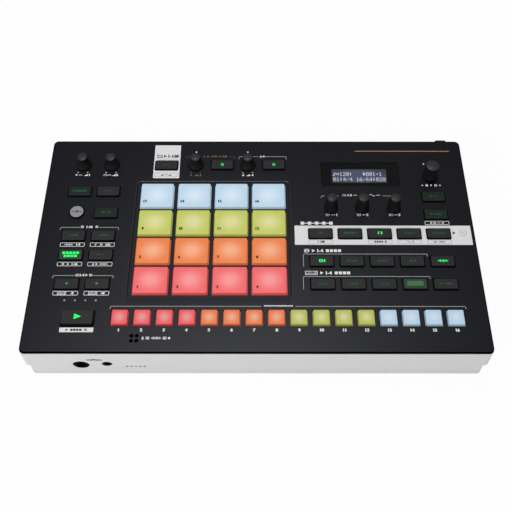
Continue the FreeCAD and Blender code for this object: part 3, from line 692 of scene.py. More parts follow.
WAVE = (0.30, 0.55, 0.95, 0.50, 0.80, 1.00, 0.45, 0.75, 0.35)
SIGNS = {
    "play": (0.9, [("fill", [(-0.42, -0.5), (0.45, 0.0), (-0.42, 0.5)])]),
    "back": (0.9, [("fill", [(0.42, -0.5), (-0.45, 0.0), (0.42, 0.5)])]),
    "down": (0.9, [("fill", [(-0.45, -0.35), (0.45, -0.35), (0.0, 0.45)])]),
    "cross": (1.0, [("line", [(-0.42, -0.42), (0.42, 0.42)]), ("line", [(-0.42, 0.42), (0.42, -0.42)])]),
    "plus": (0.9, [("line", [(-0.4, 0), (0.4, 0)]), ("line", [(0, -0.4), (0, 0.4)])]),
    "minus": (0.9, [("line", [(-0.4, 0), (0.4, 0)])]),
    "dash": (1.6, [("line", [(-0.7, 0), (0.7, 0)])]),
    "dot": (0.8, [("disc", 0, 0, 0.4)]),
    "ring": (1.1, [("arc", 0, 0, 0.42, 0, 360)]),
    "shift": (1.1, [("loop", [(0, -0.5), (0.5, 0.02), (0.22, 0.02), (0.22, 0.48), (-0.22, 0.48),
                             (-0.22, 0.02), (-0.5, 0.02)])]),
    "undo": (1.5, [("line", [(-0.45, -0.2), (0.25, -0.2)]), ("arc", 0.25, 0.13, 0.33, 90, -90),
                   ("line", [(0.25, 0.46), (-0.4, 0.46)]),
                   ("fill", [(-0.75, -0.2), (-0.35, -0.5), (-0.35, 0.1)])]),
    "copy": (1.2, [("loop", square(-0.14, -0.13, 0.66)), ("loop", square(0.18, 0.14, 0.66))]),
    "folder": (1.5, [("loop", [(-0.65, -0.42), (-0.2, -0.42), (-0.05, -0.22), (0.65, -0.22),
                              (0.65, 0.45), (-0.65, 0.45)])]),
    "tray": (1.3, [("line", [(-0.5, 0.05), (-0.5, 0.45), (0.5, 0.45), (0.5, 0.05)]),
                   ("line", [(0, -0.5), (0, 0.1)]), ("fill", [(-0.25, -0.1), (0.25, -0.1), (0, 0.22)])]),
    "power": (1.1, [("arc", 0, 0.06, 0.42, 125, 415), ("line", [(0, -0.5), (0, 0.02)])]),
    "exit": (1.4, [("line", [(0.05, -0.45), (-0.5, -0.45), (-0.5, 0.45), (0.05, 0.45)]),
                   ("line", [(-0.15, 0), (0.4, 0)]), ("fill", [(0.32, -0.28), (0.66, 0), (0.32, 0.28)])]),
    "gear": (1.1, [("arc", 0, 0, 0.26, 0, 360)] + [
        ("line", [(0.3 * math.cos(a), 0.3 * math.sin(a)), (0.5 * math.cos(a), 0.5 * math.sin(a))])
        for a in [math.pi * i / 4 for i in range(8)]]),
    "note": (0.9, [("disc", -0.15, 0.3, 0.2), ("line", [(0.03, 0.3), (0.03, -0.45), (0.32, -0.2)])]),
    "wave": (3.4, [("fill", bar(-1.52 + 0.38 * i, 0.22, -h / 2, h / 2)) for i, h in enumerate(WAVE)]),
    "cells": (4.4, [("fill", square(-1.65 + 1.1 * i, 0, 0.85)) for i in range(4)]),
    "grid": (1.1, [("fill", square(u, v, 0.4)) for u in (-0.27, 0.27) for v in (-0.27, 0.27)]),
    "stairs": (2.2, [("fill", bar(-0.9 + 0.45 * i, 0.3, 0.3 - 0.2 * i, 0.5)) for i in range(5)]),
    "bars": (1.2, [("fill", bar(-0.4 + 0.4 * i, 0.22, -0.5, 0.5)) for i in range(3)]),
    "faders": (1.5, [("line", [(u, -0.5), (u, 0.5)]) for u in (-0.5, 0, 0.5)]
               + [("fill", square(u, v, 0.32)) for u, v in ((-0.5, 0.15), (0, -0.2), (0.5, 0.05))]),
    "sine": (2.2, [("line", [(-1.0 + 0.1 * i, -0.45 * math.sin(math.pi * i / 10)) for i in range(21)])]),
    "drum": (1.5, [("loop", [(0.6 * math.cos(a), -0.25 + 0.22 * math.sin(a))
                            for a in [math.pi * i / 8 for i in range(16)]]),
                   ("line", [(-0.6, -0.25), (-0.6, 0.3), (-0.3, 0.46), (0.3, 0.46), (0.6, 0.3),
                             (0.6, -0.25)])]),
    "piano": (3.4, [("loop", bar(0, 3.2, -0.5, 0.5))]
              + [("line", [(-1.2 + 0.4 * i, -0.5), (-1.2 + 0.4 * i, 0.5)]) for i in range(7)]
              + [("fill", bar(-1.2 + 0.4 * i, 0.2, -0.5, 0.1)) for i in (0, 1, 3, 4, 5)]),
    "phones": (1.2, [("arc", 0, 0.1, 0.45, 0, 180), ("fill", bar(-0.45, 0.25, 0.05, 0.5)),
                     ("fill", bar(0.45, 0.25, 0.05, 0.5))]),
    "mic": (0.9, [("fill", bar(0, 0.3, -0.5, 0.1)), ("arc", 0, -0.05, 0.32, 180, 360),
                  ("line", [(0, 0.27), (0, 0.48)]), ("line", [(-0.22, 0.48), (0.22, 0.48)])]),
    "speaker": (0.8, [("fill", [(-0.35, -0.18), (-0.1, -0.18), (0.3, -0.5), (0.3, 0.5), (-0.1, 0.18),
                               (-0.35, 0.18)])]),
    "wedge": (1.9, [("fill", [(-0.85, 0.45), (0.85, -0.45), (0.85, 0.45)])]),
    "flow": (10.2, [("fill", square(-4.5 + 2.25 * i, 0, 1.1)) for i in range(5)]
             + [("line", [(-3.9 + 2.25 * i, 0), (-2.8 + 2.25 * i, 0)]) for i in range(4)]),
    "steps": (9.2, [("fill", square(-4.2 + 0.56 * i, 0, 0.42)) for i in range(16)]),
}


def flat(z=PANEL_TOP):
    """Level surface at a height, read from the panel's left and rear edges."""
    origin = Vector((PANEL_LOW.x, PANEL_HIGH.y, z * MM))
    return origin, Vector((1, 0, 0)), Vector((0, 1, 0)), Vector((0, 0, 1))


def front_wall(from_rear):
    """Upright surface that faces the front, read from the left edge and down from the ground."""
    origin = Vector((PANEL_LOW.x, PANEL_HIGH.y - from_rear * MM, 0))
    return origin, Vector((1, 0, 0)), Vector((0, 0, 1)), Vector((0, -1, 0))


def rear_wall(from_rear):
    """Upright surface that faces the rear, read from the right edge and down from the ground."""
    origin = Vector((PANEL_HIGH.x, PANEL_HIGH.y - from_rear * MM, 0))
    return origin, Vector((-1, 0, 0)), Vector((0, 0, 1)), Vector((0, 1, 0))


class Ink:
    """Printed marks of one ink on one body, as thin solids that lie on a flat surface."""

    def __init__(self, name, material, body="chassis", surface=None):
        self.name, self.material, self.body = name, material, body
        self.surface = surface or flat()
        self.mesh = bmesh.new()

    def at(self, u, v, height):
        origin, right, up, out = self.surface
        return origin + (right * u - up * v + out * height) * MM

    def solid(self, left, right, closed):
        """Thin solid between two runs of points, or over one closed run when right is None."""
        if right is None:
            rings = [[self.mesh.verts.new(self.at(u, v, h)) for u, v in left] for h in (0, INK_THICK)]
            for i in range(len(left)):
                k = (i + 1) % len(left)
                self.mesh.faces.new((rings[0][i], rings[0][k], rings[1][k], rings[1][i]))
            self.mesh.faces.new(rings[0])
            self.mesh.faces.new(rings[1])
            return
        runs = (left, right)
        (a_low, a_high), (b_low, b_high) = [
            [[self.mesh.verts.new(self.at(u, v, h)) for u, v in run] for h in (0, INK_THICK)] for run in runs]
        count = len(left)
        for i in range(count if closed else count - 1):
            k = (i + 1) % count
            self.mesh.faces.new((a_high[i], a_high[k], b_high[k], b_high[i]))
            self.mesh.faces.new((a_low[i], a_low[k], b_low[k], b_low[i]))
            self.mesh.faces.new((a_low[i], a_low[k], a_high[k], a_high[i]))
            self.mesh.faces.new((b_low[i], b_low[k], b_high[k], b_high[i]))
        if not closed:
            for i in (0, count - 1):
                self.mesh.faces.new((a_low[i], a_high[i], b_high[i], b_low[i]))

    def fill(self, points):
        self.solid(points, None, True)

    def line(self, points, width, closed=False):
        """Line of even width with mitred corners."""
        count = len(points)
        sides = ([], [])
        for i, (u, v) in enumerate(points):
            before = points[i - 1] if closed or i else None
            after = points[(i + 1) % count] if closed or i < count - 1 else None
            steps = []
            for start, end in ((before, (u, v)), ((u, v), after)):
                if start is not None and end is not None:
                    length = math.hypot(end[0] - start[0], end[1] - start[1])
                    steps.append(((end[0] - start[0]) / length, (end[1] - start[1]) / length))
            du = sum(s[0] for s in steps)
            dv = sum(s[1] for s in steps)
            length = math.hypot(du, dv)
            du, dv = du / length, dv / length
            half = width / 2 / max(0.3, du * steps[0][0] + dv * steps[0][1])
            sides[0].append((u - dv * half, v + du * half))
            sides[1].append((u + dv * half, v - du * half))
        self.solid(*sides, closed)

    def disc(self, u, v, radius, steps=16):
        self.fill([(u + a, v + b) for a, b in circle(radius, steps)])

    def box(self, u, v, width, depth, line, corner=0.6):
        """Outline of a rounded box."""
        self.line([(u + a, v + b) for a, b in outline(width, depth, corner, 3)], line, True)

    def plate(self, u, v, width, depth, corner=0.4):
        self.fill([(u + a, v + b) for a, b in outline(width, depth, corner, 3)])

    def numerals(self, text, u, v, height):
        """Plain numerals, centred, in copies side by side that make them heavy."""
        mesh, _, tall = numeral_mesh(text)
        _, right, up, out = self.surface
        turn = Matrix((right, up, out)).transposed().to_4x4()
        scale = height * MM / tall
        sized = Matrix.Diagonal((scale, scale, 1.0, 1.0))
        for shift, lift in NUMERAL_COPIES:
            copy = mesh.copy()
            copy.transform(Matrix.Translation(self.at(u + shift, v, INK_THICK * lift)) @ turn @ sized)
            self.mesh.from_mesh(copy)
            bpy.data.meshes.remove(copy)

    def sign(self, name, u, v, size, line):
        """One of the plain signs."""
        for kind, *values in SIGNS[name][1]:
            if kind == "disc":
                self.disc(u + values[0] * size, v + values[1] * size, values[2] * size)
            elif kind == "arc":
                cu, cv, radius, start, end = values
                full = end - start == 360
                last = end - 360 / ARC_STEPS if full else end
                points = arc(u + cu * size, v + cv * size, radius * size, start, last, ARC_STEPS)
                self.line(points, line, full)
            else:
                points = [(u + a * size, v + b * size) for a, b in values[0]]
                if kind == "fill":
                    self.fill(points)
                else:
                    self.line(points, line, kind == "loop")

    def row(self, text, u, v, height, gap=0.9, line=0.6, span=None):
        """Signs and numerals side by side, centred, or evenly over a span."""
        items = text.split()
        widths = []
        for item in items:
            if item in SIGNS:
                widths.append(SIGNS[item][0] * height)
            else:
                _, width, tall = numeral_mesh(item)
                widths.append(width / tall * height)
        if span:
            gap = (span - sum(widths)) / (len(items) - 1)
        start = u - (sum(widths) + gap * (len(items) - 1)) / 2
        for item, width in zip(items, widths):
            if item in SIGNS:
                self.sign(item, start + width / 2, v, height, line)
            else:
                self.numerals(item, start + width / 2, v, height)
            start += width + gap

    def done(self):
        finish_piece(self.name, self.mesh, self.material, self.body, smooth=20.0)


# Numerals: copies (shift in millimetres, lift as a share of the ink), weight and weld in type units
NUMERALS = {}
NUMERAL_COPIES = ((-0.22, 0.5), (0.0, 0.6), (0.22, 0.7))
NUMERAL_WEIGHT = 0.021
NUMERAL_WELD = 1e-5
NUMERAL_LOWEST = 0.7
ARC_STEPS = 20


def numeral_mesh(text):
    """Mesh of plain numerals about the origin, its width and its height."""
    if text not in NUMERALS:
        curve = bpy.data.curves.new("numerals", "FONT")
        curve.body = text
        curve.extrude = INK_THICK * MM / 2
        curve.offset = NUMERAL_WEIGHT
        holder = put("numerals", curve)
        bpy.context.view_layer.update()
        mesh = bpy.data.meshes.new_from_object(holder)
        bpy.data.objects.remove(holder)
        made = bmesh.new()
        made.from_mesh(mesh)
        close_up(made, NUMERAL_WELD)
        made.to_mesh(mesh)
        made.free()
        xs = [v.co.x for v in mesh.vertices]
        ys = [v.co.y for v in mesh.vertices]
        centre = Vector(((max(xs) + min(xs)) / 2, (max(ys) + min(ys)) / 2, 0))
        mesh.transform(Matrix.Translation(-centre))
        NUMERALS[text] = (mesh, max(xs) - min(xs), max(NUMERAL_LOWEST, max(ys) - min(ys)))
    return NUMERALS[text]


def arc(x, y, radius, start, end, steps):
    """Points of an arc; angles in degrees, 0 to the right, 90 towards the rear."""
    points = []
    for i in range(steps):
        angle = math.radians(start + (end - start) * i / (steps - 1))
        points.append((x + radius * math.cos(angle), y - radius * math.sin(angle)))
    return points


def bracket(ink, left, right, y, feet, gaps=()):
    """Line over a group of keys with its ends turned towards the front by the lengths of the feet,
    and open where gaps say."""
    line, corner = 0.5, 1.2
    start = [(left, y + feet[0])] + arc(left + corner, y + corner, corner, 180, 90, 4)
    end = arc(right - corner, y + corner, corner, 90, 0, 4) + [(right, y + feet[1])]
    for gap_start, gap_end in gaps:
        ink.line(start + [(gap_start, y)], line)
        start = [(gap_end, y)]
    ink.line(start + end, line)


# Case

def build_case():
    """White case: two tiers, screw bosses, board posts and an opening for every socket. The tiers give
    inset, corner radius and height, up the outside and down the inside."""
    tiers = [(PLINTH_INSET + 1.2, 3.0, FOOT_HEIGHT), (PLINTH_INSET + 0.7, 3.2, 2.62),
             (PLINTH_INSET + 0.28, 3.4, 2.95), (PLINTH_INSET + 0.05, 3.5, 3.4), (PLINTH_INSET, 3.55, 3.9),
             (PLINTH_INSET, 3.55, LEDGE_Z - 0.2), (PLINTH_INSET - 0.2, 3.6, LEDGE_Z),
             (RIM_INSET + 0.4, 4.6, LEDGE_Z), (RIM_INSET + 0.12, 4.8, LEDGE_Z + 0.12),
             (RIM_INSET, 4.85, LEDGE_Z + 0.4), (RIM_INSET, 4.85, 51.2), (0.12, 4.9, 51.7),
             (0.0, 5.0, 52.3), (0.04, 5.0, 52.7), (0.16, 4.9, 52.92), (0.35, 4.8, PANEL_UNDER),
             (RIM_INSET + WALL, 2.4, PANEL_UNDER), (RIM_INSET + WALL, 2.4, LEDGE_Z + WALL),
             (PLINTH_INSET + WALL, 1.2, LEDGE_Z + WALL), (PLINTH_INSET + WALL, 1.2, FLOOR_TOP)]
    levels = [(outline(PANEL_WIDTH - 2 * inset, PANEL_DEPTH - 2 * inset, corner, 8), z)
              for inset, corner, z in tiers]
    case = stack(levels, *MIDDLE)

    # Screw towers, posts and the collar of the small jack, sunk into the floor and the wall
    front = PANEL_DEPTH - PLINTH_INSET
    added = [turned(x, y, [(4.4, 4.0), (4.4, 39.7), (4.1, 40.0)], 32) for x, y in SCREWS]
    added += [stack([(outline(7, 7, 0.5), z) for z in (4.0, 20.3)], x, y) for x, y in POSTS]
    added.append(tube([(6.7, front - 1.0), (6.7, front + 2.3), (6.4, front + 2.6)], *SMALL_JACK))
    case = combined(case, joined(added), "UNION")

    # Screw holes, openings of the front wall and its dots
    cuts = [turned(x, y, [(3.7, 1.0), (3.7, 2.5), (3.1, 3.1), (3.1, 34.0), (1.5, 34.0), (1.5, 41.0)], 32)
            for x, y in SCREWS]
    outer, inner, edge = PANEL_DEPTH - RIM_INSET, PANEL_DEPTH - 7.0, 0.4
    for jack, radius in ((LARGE_JACK, 7.9), (SMALL_JACK, 4.9)):
        cuts.append(tube([(radius, inner), (radius, outer - edge), (radius + edge, outer + OFF_WALL),
                          (radius + edge, outer + 2)], *jack))
    cuts += [tube([(1.2, front - FRONT_DOTS_DEPTH), (1.2, front + 1)], left, FRONT_DOTS_Z, 16)
             for left in FRONT_DOTS]

    # Openings of the rear wall: place, outline and mouth
    holes = [((left, REAR_Z), circle(5.6), circle(6.0)) for left in JACK_LEFTS]
    holes += [((left, REAR_Z), circle(3.4), circle(3.7)) for left in MINI_LEFTS]
    holes.append(((INLET_LEFT, REAR_Z), circle(4.6), circle(5.0)))
    for spot, width, tall, corner in (((USB_LEFT, REAR_Z), 10.2, 4.6, 1.2), (LOCK_SPOT, 7.0, 3.0, 0.6),
                                      (POWER_SPOT, 12.1, 9.1, 1.3)):
        holes.append((spot, outline(width, tall, corner), outline(width + 0.6, tall + 0.6, corner + 0.3)))
    for spot, points, mouth in holes:
        rings = [(mouth, RIM_INSET - 2), (mouth, RIM_INSET - OFF_WALL), (points, RIM_INSET + 0.3),
                 (points, 6.4)]
        cuts.append(along_y(rings, *spot))
    case = combined(case, joined(cuts), "DIFFERENCE")
    finish_piece("case_shell", case, CASE, replaces="lower_case", smooth=30.0, weighted=True)


def build_case_marks():
    """Small marks on the walls: plain symbols beside the sockets, and dark discs at the floor of the shallow
    dots in the front wall.
    """
    front = Ink("marks_front", MARK_INK, surface=front_wall(PANEL_DEPTH - RIM_INSET))
    label_height = -40.1
    for x in (61.0, 74.1):
        front.disc(x, label_height, 1.0)
    front.row("dash phones dash", 67.6, label_height, 2.6, span=11.4, line=2.1)
    front.done()
    plinth = PANEL_DEPTH - PLINTH_INSET
    # Dark discs lie at the floor of the shallow dots
    dots = Ink("marks_front_dots", MARK_INK, surface=front_wall(plinth - FRONT_DOTS_DEPTH))
    for left in FRONT_DOTS:
        dots.disc(left, -FRONT_DOTS_Z, 1.15)
    dots.done()
    rear = Ink("marks_rear", DARK_INK, surface=rear_wall(RIM_INSET))
    rear.sign("power", PANEL_WIDTH - 402.5, -POWER_SPOT[1], 3.6, 0.4)
    inlet, height = PANEL_WIDTH - INLET_LEFT, -45.4
    rear.sign("minus", inlet - 5.0, height, 2.2, 0.35)
    rear.line([(inlet - 3.8, height), (inlet - 1.6, height)], 0.3)
    rear.line(arc(inlet, height, 1.6, 60, 300, 12), 0.3)
    rear.disc(inlet, height, 0.5)
    rear.line([(inlet + 0.5, height), (inlet + 3.6, height)], 0.3)
    rear.sign("plus", inlet + 5.0, height, 2.2, 0.35)
    rear.sign("mic", PANEL_WIDTH - JACK_LEFTS[0], -47.0, 3.4, 0.35)
    for lefts, label_height, size in ((JACK_LEFTS[1:], -46.6, 2.8), (MINI_LEFTS, -43.6, 2.4)):
        for number, left in enumerate(reversed(lefts), 1):
            rear.numerals(str(number), PANEL_WIDTH - left, label_height, size)
    rear.done()


def build_feet_and_screws():
    """Rubber feet with rounded edges and a shallow dish; screw heads with a cross recess."""
    profile = [(5.6, 0.35), (6.3, 0.0), (7.3, 0.0), (7.8, 0.2), (8.0, 0.6), (8.0, FOOT_HEIGHT)]
    feet = joined([turned(x, y, profile, 64) for x, y in FEET])
    finish_piece("feet_round", feet, RUBBER, replaces="rubber_feet")
    profile = [(1.6, 32.0), (2.4, 32.3), (2.8, 33.0), (2.8, 34.0), (1.45, 34.0), (1.45, 50.5)]
    screws = joined([turned(x, y, profile, 32) for x, y in SCREWS])
    for slot in ((2.8, 0.7), (0.7, 2.8)):
        slots = [stack([(outline(*slot, 0.1), z) for z in (31.0, 33.1)], x, y) for x, y in SCREWS]
        screws = combined(screws, joined(slots), "DIFFERENCE")
    finish_piece("screws_cross", screws, STEEL, replaces="case_screws", weighted=True)


def build_sockets():
    """Rings, contacts and noses seen in the openings of the walls."""
    face = SOCKET_FACE
    for i, left in enumerate(JACK_LEFTS):
        ring = tube([(5.3, face), (5.3, 1.3), (5.0, 1.0), (3.7, 1.0), (3.4, 1.4), (3.4, face)], left, REAR_Z)
        finish_piece(f"socket_ring_{i + 1}", ring, SOCKET)
        sleeve = tube([(3.39, face), (3.39, 2.2), (3.2, 2.2), (3.2, face)], left, REAR_Z)
        finish_piece(f"socket_sleeve_{i + 1}", sleeve, CONTACT)
    for i, left in enumerate(MINI_LEFTS):
        ring = tube([(3.2, face), (3.2, 1.3), (3.0, 1.0), (2.1, 1.0), (1.9, 1.3), (1.9, face)], left, REAR_Z)
        finish_piece(f"socket_mini_{i + 1}", ring, SOCKET)
    front = PANEL_DEPTH - face
    profile = [(7.8, 0.1), (7.8, 4.5), (7.5, 4.9), (4.9, 4.9), (4.3, 4.2), (4.3, 0.1)]
    large = tube([(radius, front + out) for radius, out in profile], *LARGE_JACK)
    finish_piece("socket_front_large", large, JACK_RING)


# Panel and frame

def key_openings():
    """Outline of every opening for a key with straight sides."""
    shapes = [around(spot, KEY_SIZE, KEY_GAP, 1.3) for spots in SMALL_KEYS.values() for spot in spots]
    shapes += [around((x, STEP_ROW), STEP_SIZE, KEY_GAP, 1.3) for x in STEP_COLUMNS]
    shapes.append(around(START_SPOT, START_SIZE, KEY_GAP, 1.5))
    return shapes


def build_panel():
    """Black panel with rounded edges round its outline, its bay and every opening."""
    top, under = PANEL_TOP, PANEL_UNDER
    sheet = Sheet()
    outer = (MIDDLE[0], MIDDLE[1] - FRONT_GAP / 2, PANEL_WIDTH, PANEL_DEPTH - FRONT_GAP, PANEL_CORNER)
    edge = [(-1.2, top), (-0.6, top - 0.10), (-0.2, top - 0.38), (0, top - 0.9), (0, under)]
    # The outer edge takes the panel's painted shade
    upper, lower = [[rim] for rim in sheet.wall(outer, edge, (1, 1, 1, 1))]
    bay = [(1.0, top), (0.6, top - 0.25), (0.25, top - 0.6), (0, top - 1.0), (0, under)]
    openings = [(BAY, bay)]
    openings += [rounded_opening(shape, top, under) for shape in key_openings()]
    openings.append(rounded_opening(round_shape(*ROUND_KEY_SPOT, ROUND_KEY_RADIUS + KEY_GAP), top, under))
    openings += [rounded_opening(round_shape(*spot, SHAFT_HOLE), top, under) for spot in KNOB_SPOTS.values()]
    openings += [rounded_opening(round_shape(x, LED_ROW, LED_RADIUS), top, under, 0.1) for x in LED_COLUMNS]
    openings += [rounded_opening(round_shape(*spot, MIC_HOLE), top, under, 0.2) for spot in MIC_HOLES]
    # The bay's chamfer takes the painted highlight; its wall and the walls of the other openings take the
    # painted shade
    for shape, profile in openings:
        first, last = sheet.wall(shape, profile, (2, 2, 2, 1) if shape == BAY else (1, 1, 1, 1))
        upper.append(first)
        lower.append(last)
    seat = top - WINDOW_THICK
    first, ledge = sheet.wall(WINDOW, [(0.15, top), (0.04, top - 0.05), (0, top - 0.15), (0, seat)])
    upper.append(first)
    first, last = sheet.wall(LCD_OPENING, [(0, seat), (0, under)])
    lower.append(last)
    sheet.fill(upper)
    sheet.fill(lower)
    sheet.fill([ledge, first])
    made = sheet.done()
    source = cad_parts["top_panel"].data
    for face in source.polygons:
        if face.center.z < (under - 0.1) * MM:
            made.faces.new([made.verts.new(source.vertices[i].co) for i in face.vertices])
    close_up(made, WELD)
    finishes = (PANEL, PANEL_EDGE_SHADE, PANEL_BEVEL_HIGHLIGHT)
    finish_piece("panel_plate", made, finishes, replaces="top_panel", smooth=40.0, weighted=True)


def build_pad_frame():
    """Sunken plate with an opening for each pad and a flange under the panel."""
    top, under = FRAME_TOP, FRAME_UNDER
    sheet = Sheet()
    edge = [(-0.3, top), (-0.15, top - 0.08), (-0.1, top - 0.2), (-0.1, PANEL_UNDER), (4.0, PANEL_UNDER),
            (4.0, under)]
    rims = [sheet.wall(BAY, edge)]
    for x in PAD_COLUMNS:
        for y in PAD_ROWS:
            rims.append(sheet.wall(*rounded_opening(around((x, y), PAD_SIZE, KEY_GAP, 1.8), top, under, 0.4)))
    sheet.fill_both(rims)
    finish_piece("frame_plate", sheet.done(), FRAME, replaces="pad_frame", smooth=40.0, weighted=True)


def dress_carried_nodes():
    """Materials of the nodes that stay as they are."""
    dress = {
        "control_board": BOARD, "main_board": BOARD_GREEN, "pad_sensor_sheet": SENSOR,
        "phones_jack_large": JACK, "phones_jack_small": JACK, "line_jacks": JACK, "mic_jack": JACK,
        "midi_jacks": JACK, "value_spindle": STEEL,
    }
    for node, material in dress.items():
        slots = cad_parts[node].data.materials
        slots.clear()
        slots.append(material)


# Pads and keys

# Place of a pad's number, as shares of its size from its middle
PAD_NUMBER = (-0.36, 0.27)


def build_pads():
    """Lit finger pads with their numbers."""
    number = 0
    for y, colour in zip(PAD_ROWS, LIT_PADS):
        for x in PAD_COLUMNS:
            number += 1
            node = f"pad_{number:02d}"
            low, high = heights(node)
            lip = (PAD_LIP, FRAME_UNDER - LIP_THICK, FRAME_UNDER)
            made = cap((x, y), PAD_SIZE, low, high, 1.5, 0.7, 0.2, lip, foot=PAD_FOOT, bands=2)
            finish_piece(f"{node}_cap", made, LIT_PADS[colour], node, replaces=node)
            mark = Ink(f"{node}_mark", NUMBER_INK, node, flat(high - 0.12))
            u, v = x + PAD_NUMBER[0] * PAD_SIZE[0], y + PAD_NUMBER[1] * PAD_SIZE[1]
            mark.numerals(str(number), u, v, 3.0)
            mark.done()


def build_step_keys():
    """Lit step keys, four of each colour."""
    for i, x in enumerate(STEP_COLUMNS):
        colour = list(LIT_STEPS)[i // 4]
        node = f"step_keys_{colour}"
        low, high = heights(node)
        made = cap((x, STEP_ROW), STEP_SIZE, low, high, 1.2, 0.6, 0.15, (KEY_LIP, low, PANEL_UNDER), bands=2)
        finish_piece(f"step_key_{i + 1:02d}", made, LIT_STEPS[colour], node, replaces=node)


# Legend of each key: its light, and its signs if it isn't made of plates
LEGENDS = {
    "key_project": ["dim tray dash"],
    "key_effect_on": ["bright power"],
    "key_mic_on": ["bright power"],
    "key_shift": ["dim shift cells"],
    "key_undo": ["dim undo dash"],
    "key_copy": ["dim copy play copy"],
    "key_exit": ["dim exit dash"],
    "key_system": ["dim gear wave"],
    "pad_mode_keys": ["dim note 1-16", "dim stairs 1-8", "bright", "dim dot dash"],
    "measure_keys": ["play back", "play play"],
    "workflow_keys": ["dim grid 1", "dim cells 2", "bright note 3", "dim faders 4 faders", "dim mic 5 wave"],
    "drum_track_keys": ["bright drum 1", "dim drum 2 bars", "dim drum 3 bars", "dim drum 4", "bright wave"],
    "melodic_track_keys": ["dim piano", "dim piano", "dim piano", "box", "dim faders wave"],
}
GREENS = {"dim": GREEN_DIM, "bright": GREEN_BRIGHT, "play": GREEN_SOFT, "box": GREEN_PANEL}
PLATE_PITCH = 3.4
PLATE_SIZE = (2.7, 2.6)
# Keys whose faces take the faint painted backlight glow
GLOW_PAINTED_KEYS = ("key_shift", "key_exit", "key_system", "key_copy")


def key_cap(name, node, spot, size, corner, edge, face, rounding=KEY):
    """Key with a flat face, held under the panel by its lip; returns the height of the face."""
    low, high = heights(node)
    made = cap(spot, size, low, high, corner, edge, 0.0, (KEY_LIP, low, PANEL_UNDER))
    # The sides and the lip get the keys' painted shade
    finish_piece(name, made, (face, KEY_SIDE_SHADE, rounding), node, replaces=node)
    return high


def build_small_keys():
    """Function keys with lit legends: signs, rows of small plates or one lit box."""
    for node, spots in SMALL_KEYS.items():
        for i, ((x, y), legend) in enumerate(zip(spots, LEGENDS[node]), 1):
            light, _, signs = legend.partition(" ")
            name = f"{node}_cap_{i}" if len(spots) > 1 else f"{node}_cap"
            # Green faces are painted backlight glow: faint on some keys, strong where the legend is plates or
            # a box
            face = KEY_LIT if node in GLOW_PAINTED_KEYS else KEY
            high = key_cap(name, node, (x, y), KEY_SIZE, 1.1, 0.4, face if signs else KEY_LIT_STRONG)
            ink = Ink(f"{node}_legend_{i}", GREENS[light], node, flat(high))
            if light == "box":
                ink.plate(x, y - 0.3, 15.6, 5.2, 0.8)
            elif not signs:
                for row, count in ((-1.9, 5), (1.6, 4)):
                    for k in range(count):
                        ink.plate(x + (k - (count - 1) / 2) * PLATE_PITCH, y + row, *PLATE_SIZE, 0.3)
            else:
                size = 2.5 if light == "dim" else 3.0
                ink.row(signs, x, y, size, gap=0.8, line=0.6 if light == "bright" else 0.45)
            ink.done()


def build_start_and_clear_keys():
    """Wide key with a lit triangle and round grey key with a dark mark."""
    node = "key_start_stop"
    high = key_cap(f"{node}_cap", node, START_SPOT, START_SIZE, 1.3, 0.6, KEY)
    legend = Ink(f"{node}_legend", GREEN_BRIGHT, node, flat(high))
    left, front = START_SPOT[0] - 2.9, START_SPOT[1] + 2.6
    legend.fill([(left, front - 5.6), (left + 6.6, front - 2.8), (left, front)])
    legend.done()
    node = "key_clear"
    size = (2 * ROUND_KEY_RADIUS, 2 * ROUND_KEY_RADIUS)
    high = key_cap(f"{node}_cap", node, ROUND_KEY_SPOT, size, ROUND_KEY_RADIUS, 0.4, KEY_GREY, KEY_GREY)
    legend = Ink(f"{node}_legend", DARK_INK, node, flat(high))
    legend.row("minus cross minus", *ROUND_KEY_SPOT, 3.4, gap=0.3, line=0.8)
    legend.done()


def build_power_button():
    """Button in the rear wall, with rounded edges and a slightly dished face."""
    rings = [(outline(11.4, 8.4, 1.0), 6.4), (outline(11.4, 8.4, 1.0), -3.4), (outline(11.1, 8.1, 0.9), -3.8),
             (outline(10.6, 7.6, 0.8), -4.0), (outline(9.6, 6.6, 0.6), -3.9), (outline(3.0, 1.5, 0.4), -3.75)]
    lip = along_y([(outline(13.4, 10.4, 1.0), from_rear) for from_rear in (2.8, 4.0)], *POWER_SPOT)
    made = combined(along_y(rings, *POWER_SPOT), lip, "UNION")
    finish_piece("power_button_cap", made, KEY, "power_button", replaces="power_button", weighted=True)


# Knobs

KNOB_STEPS = 160
KNOB_RIBS = 40
RIB_DEPTH = 0.2


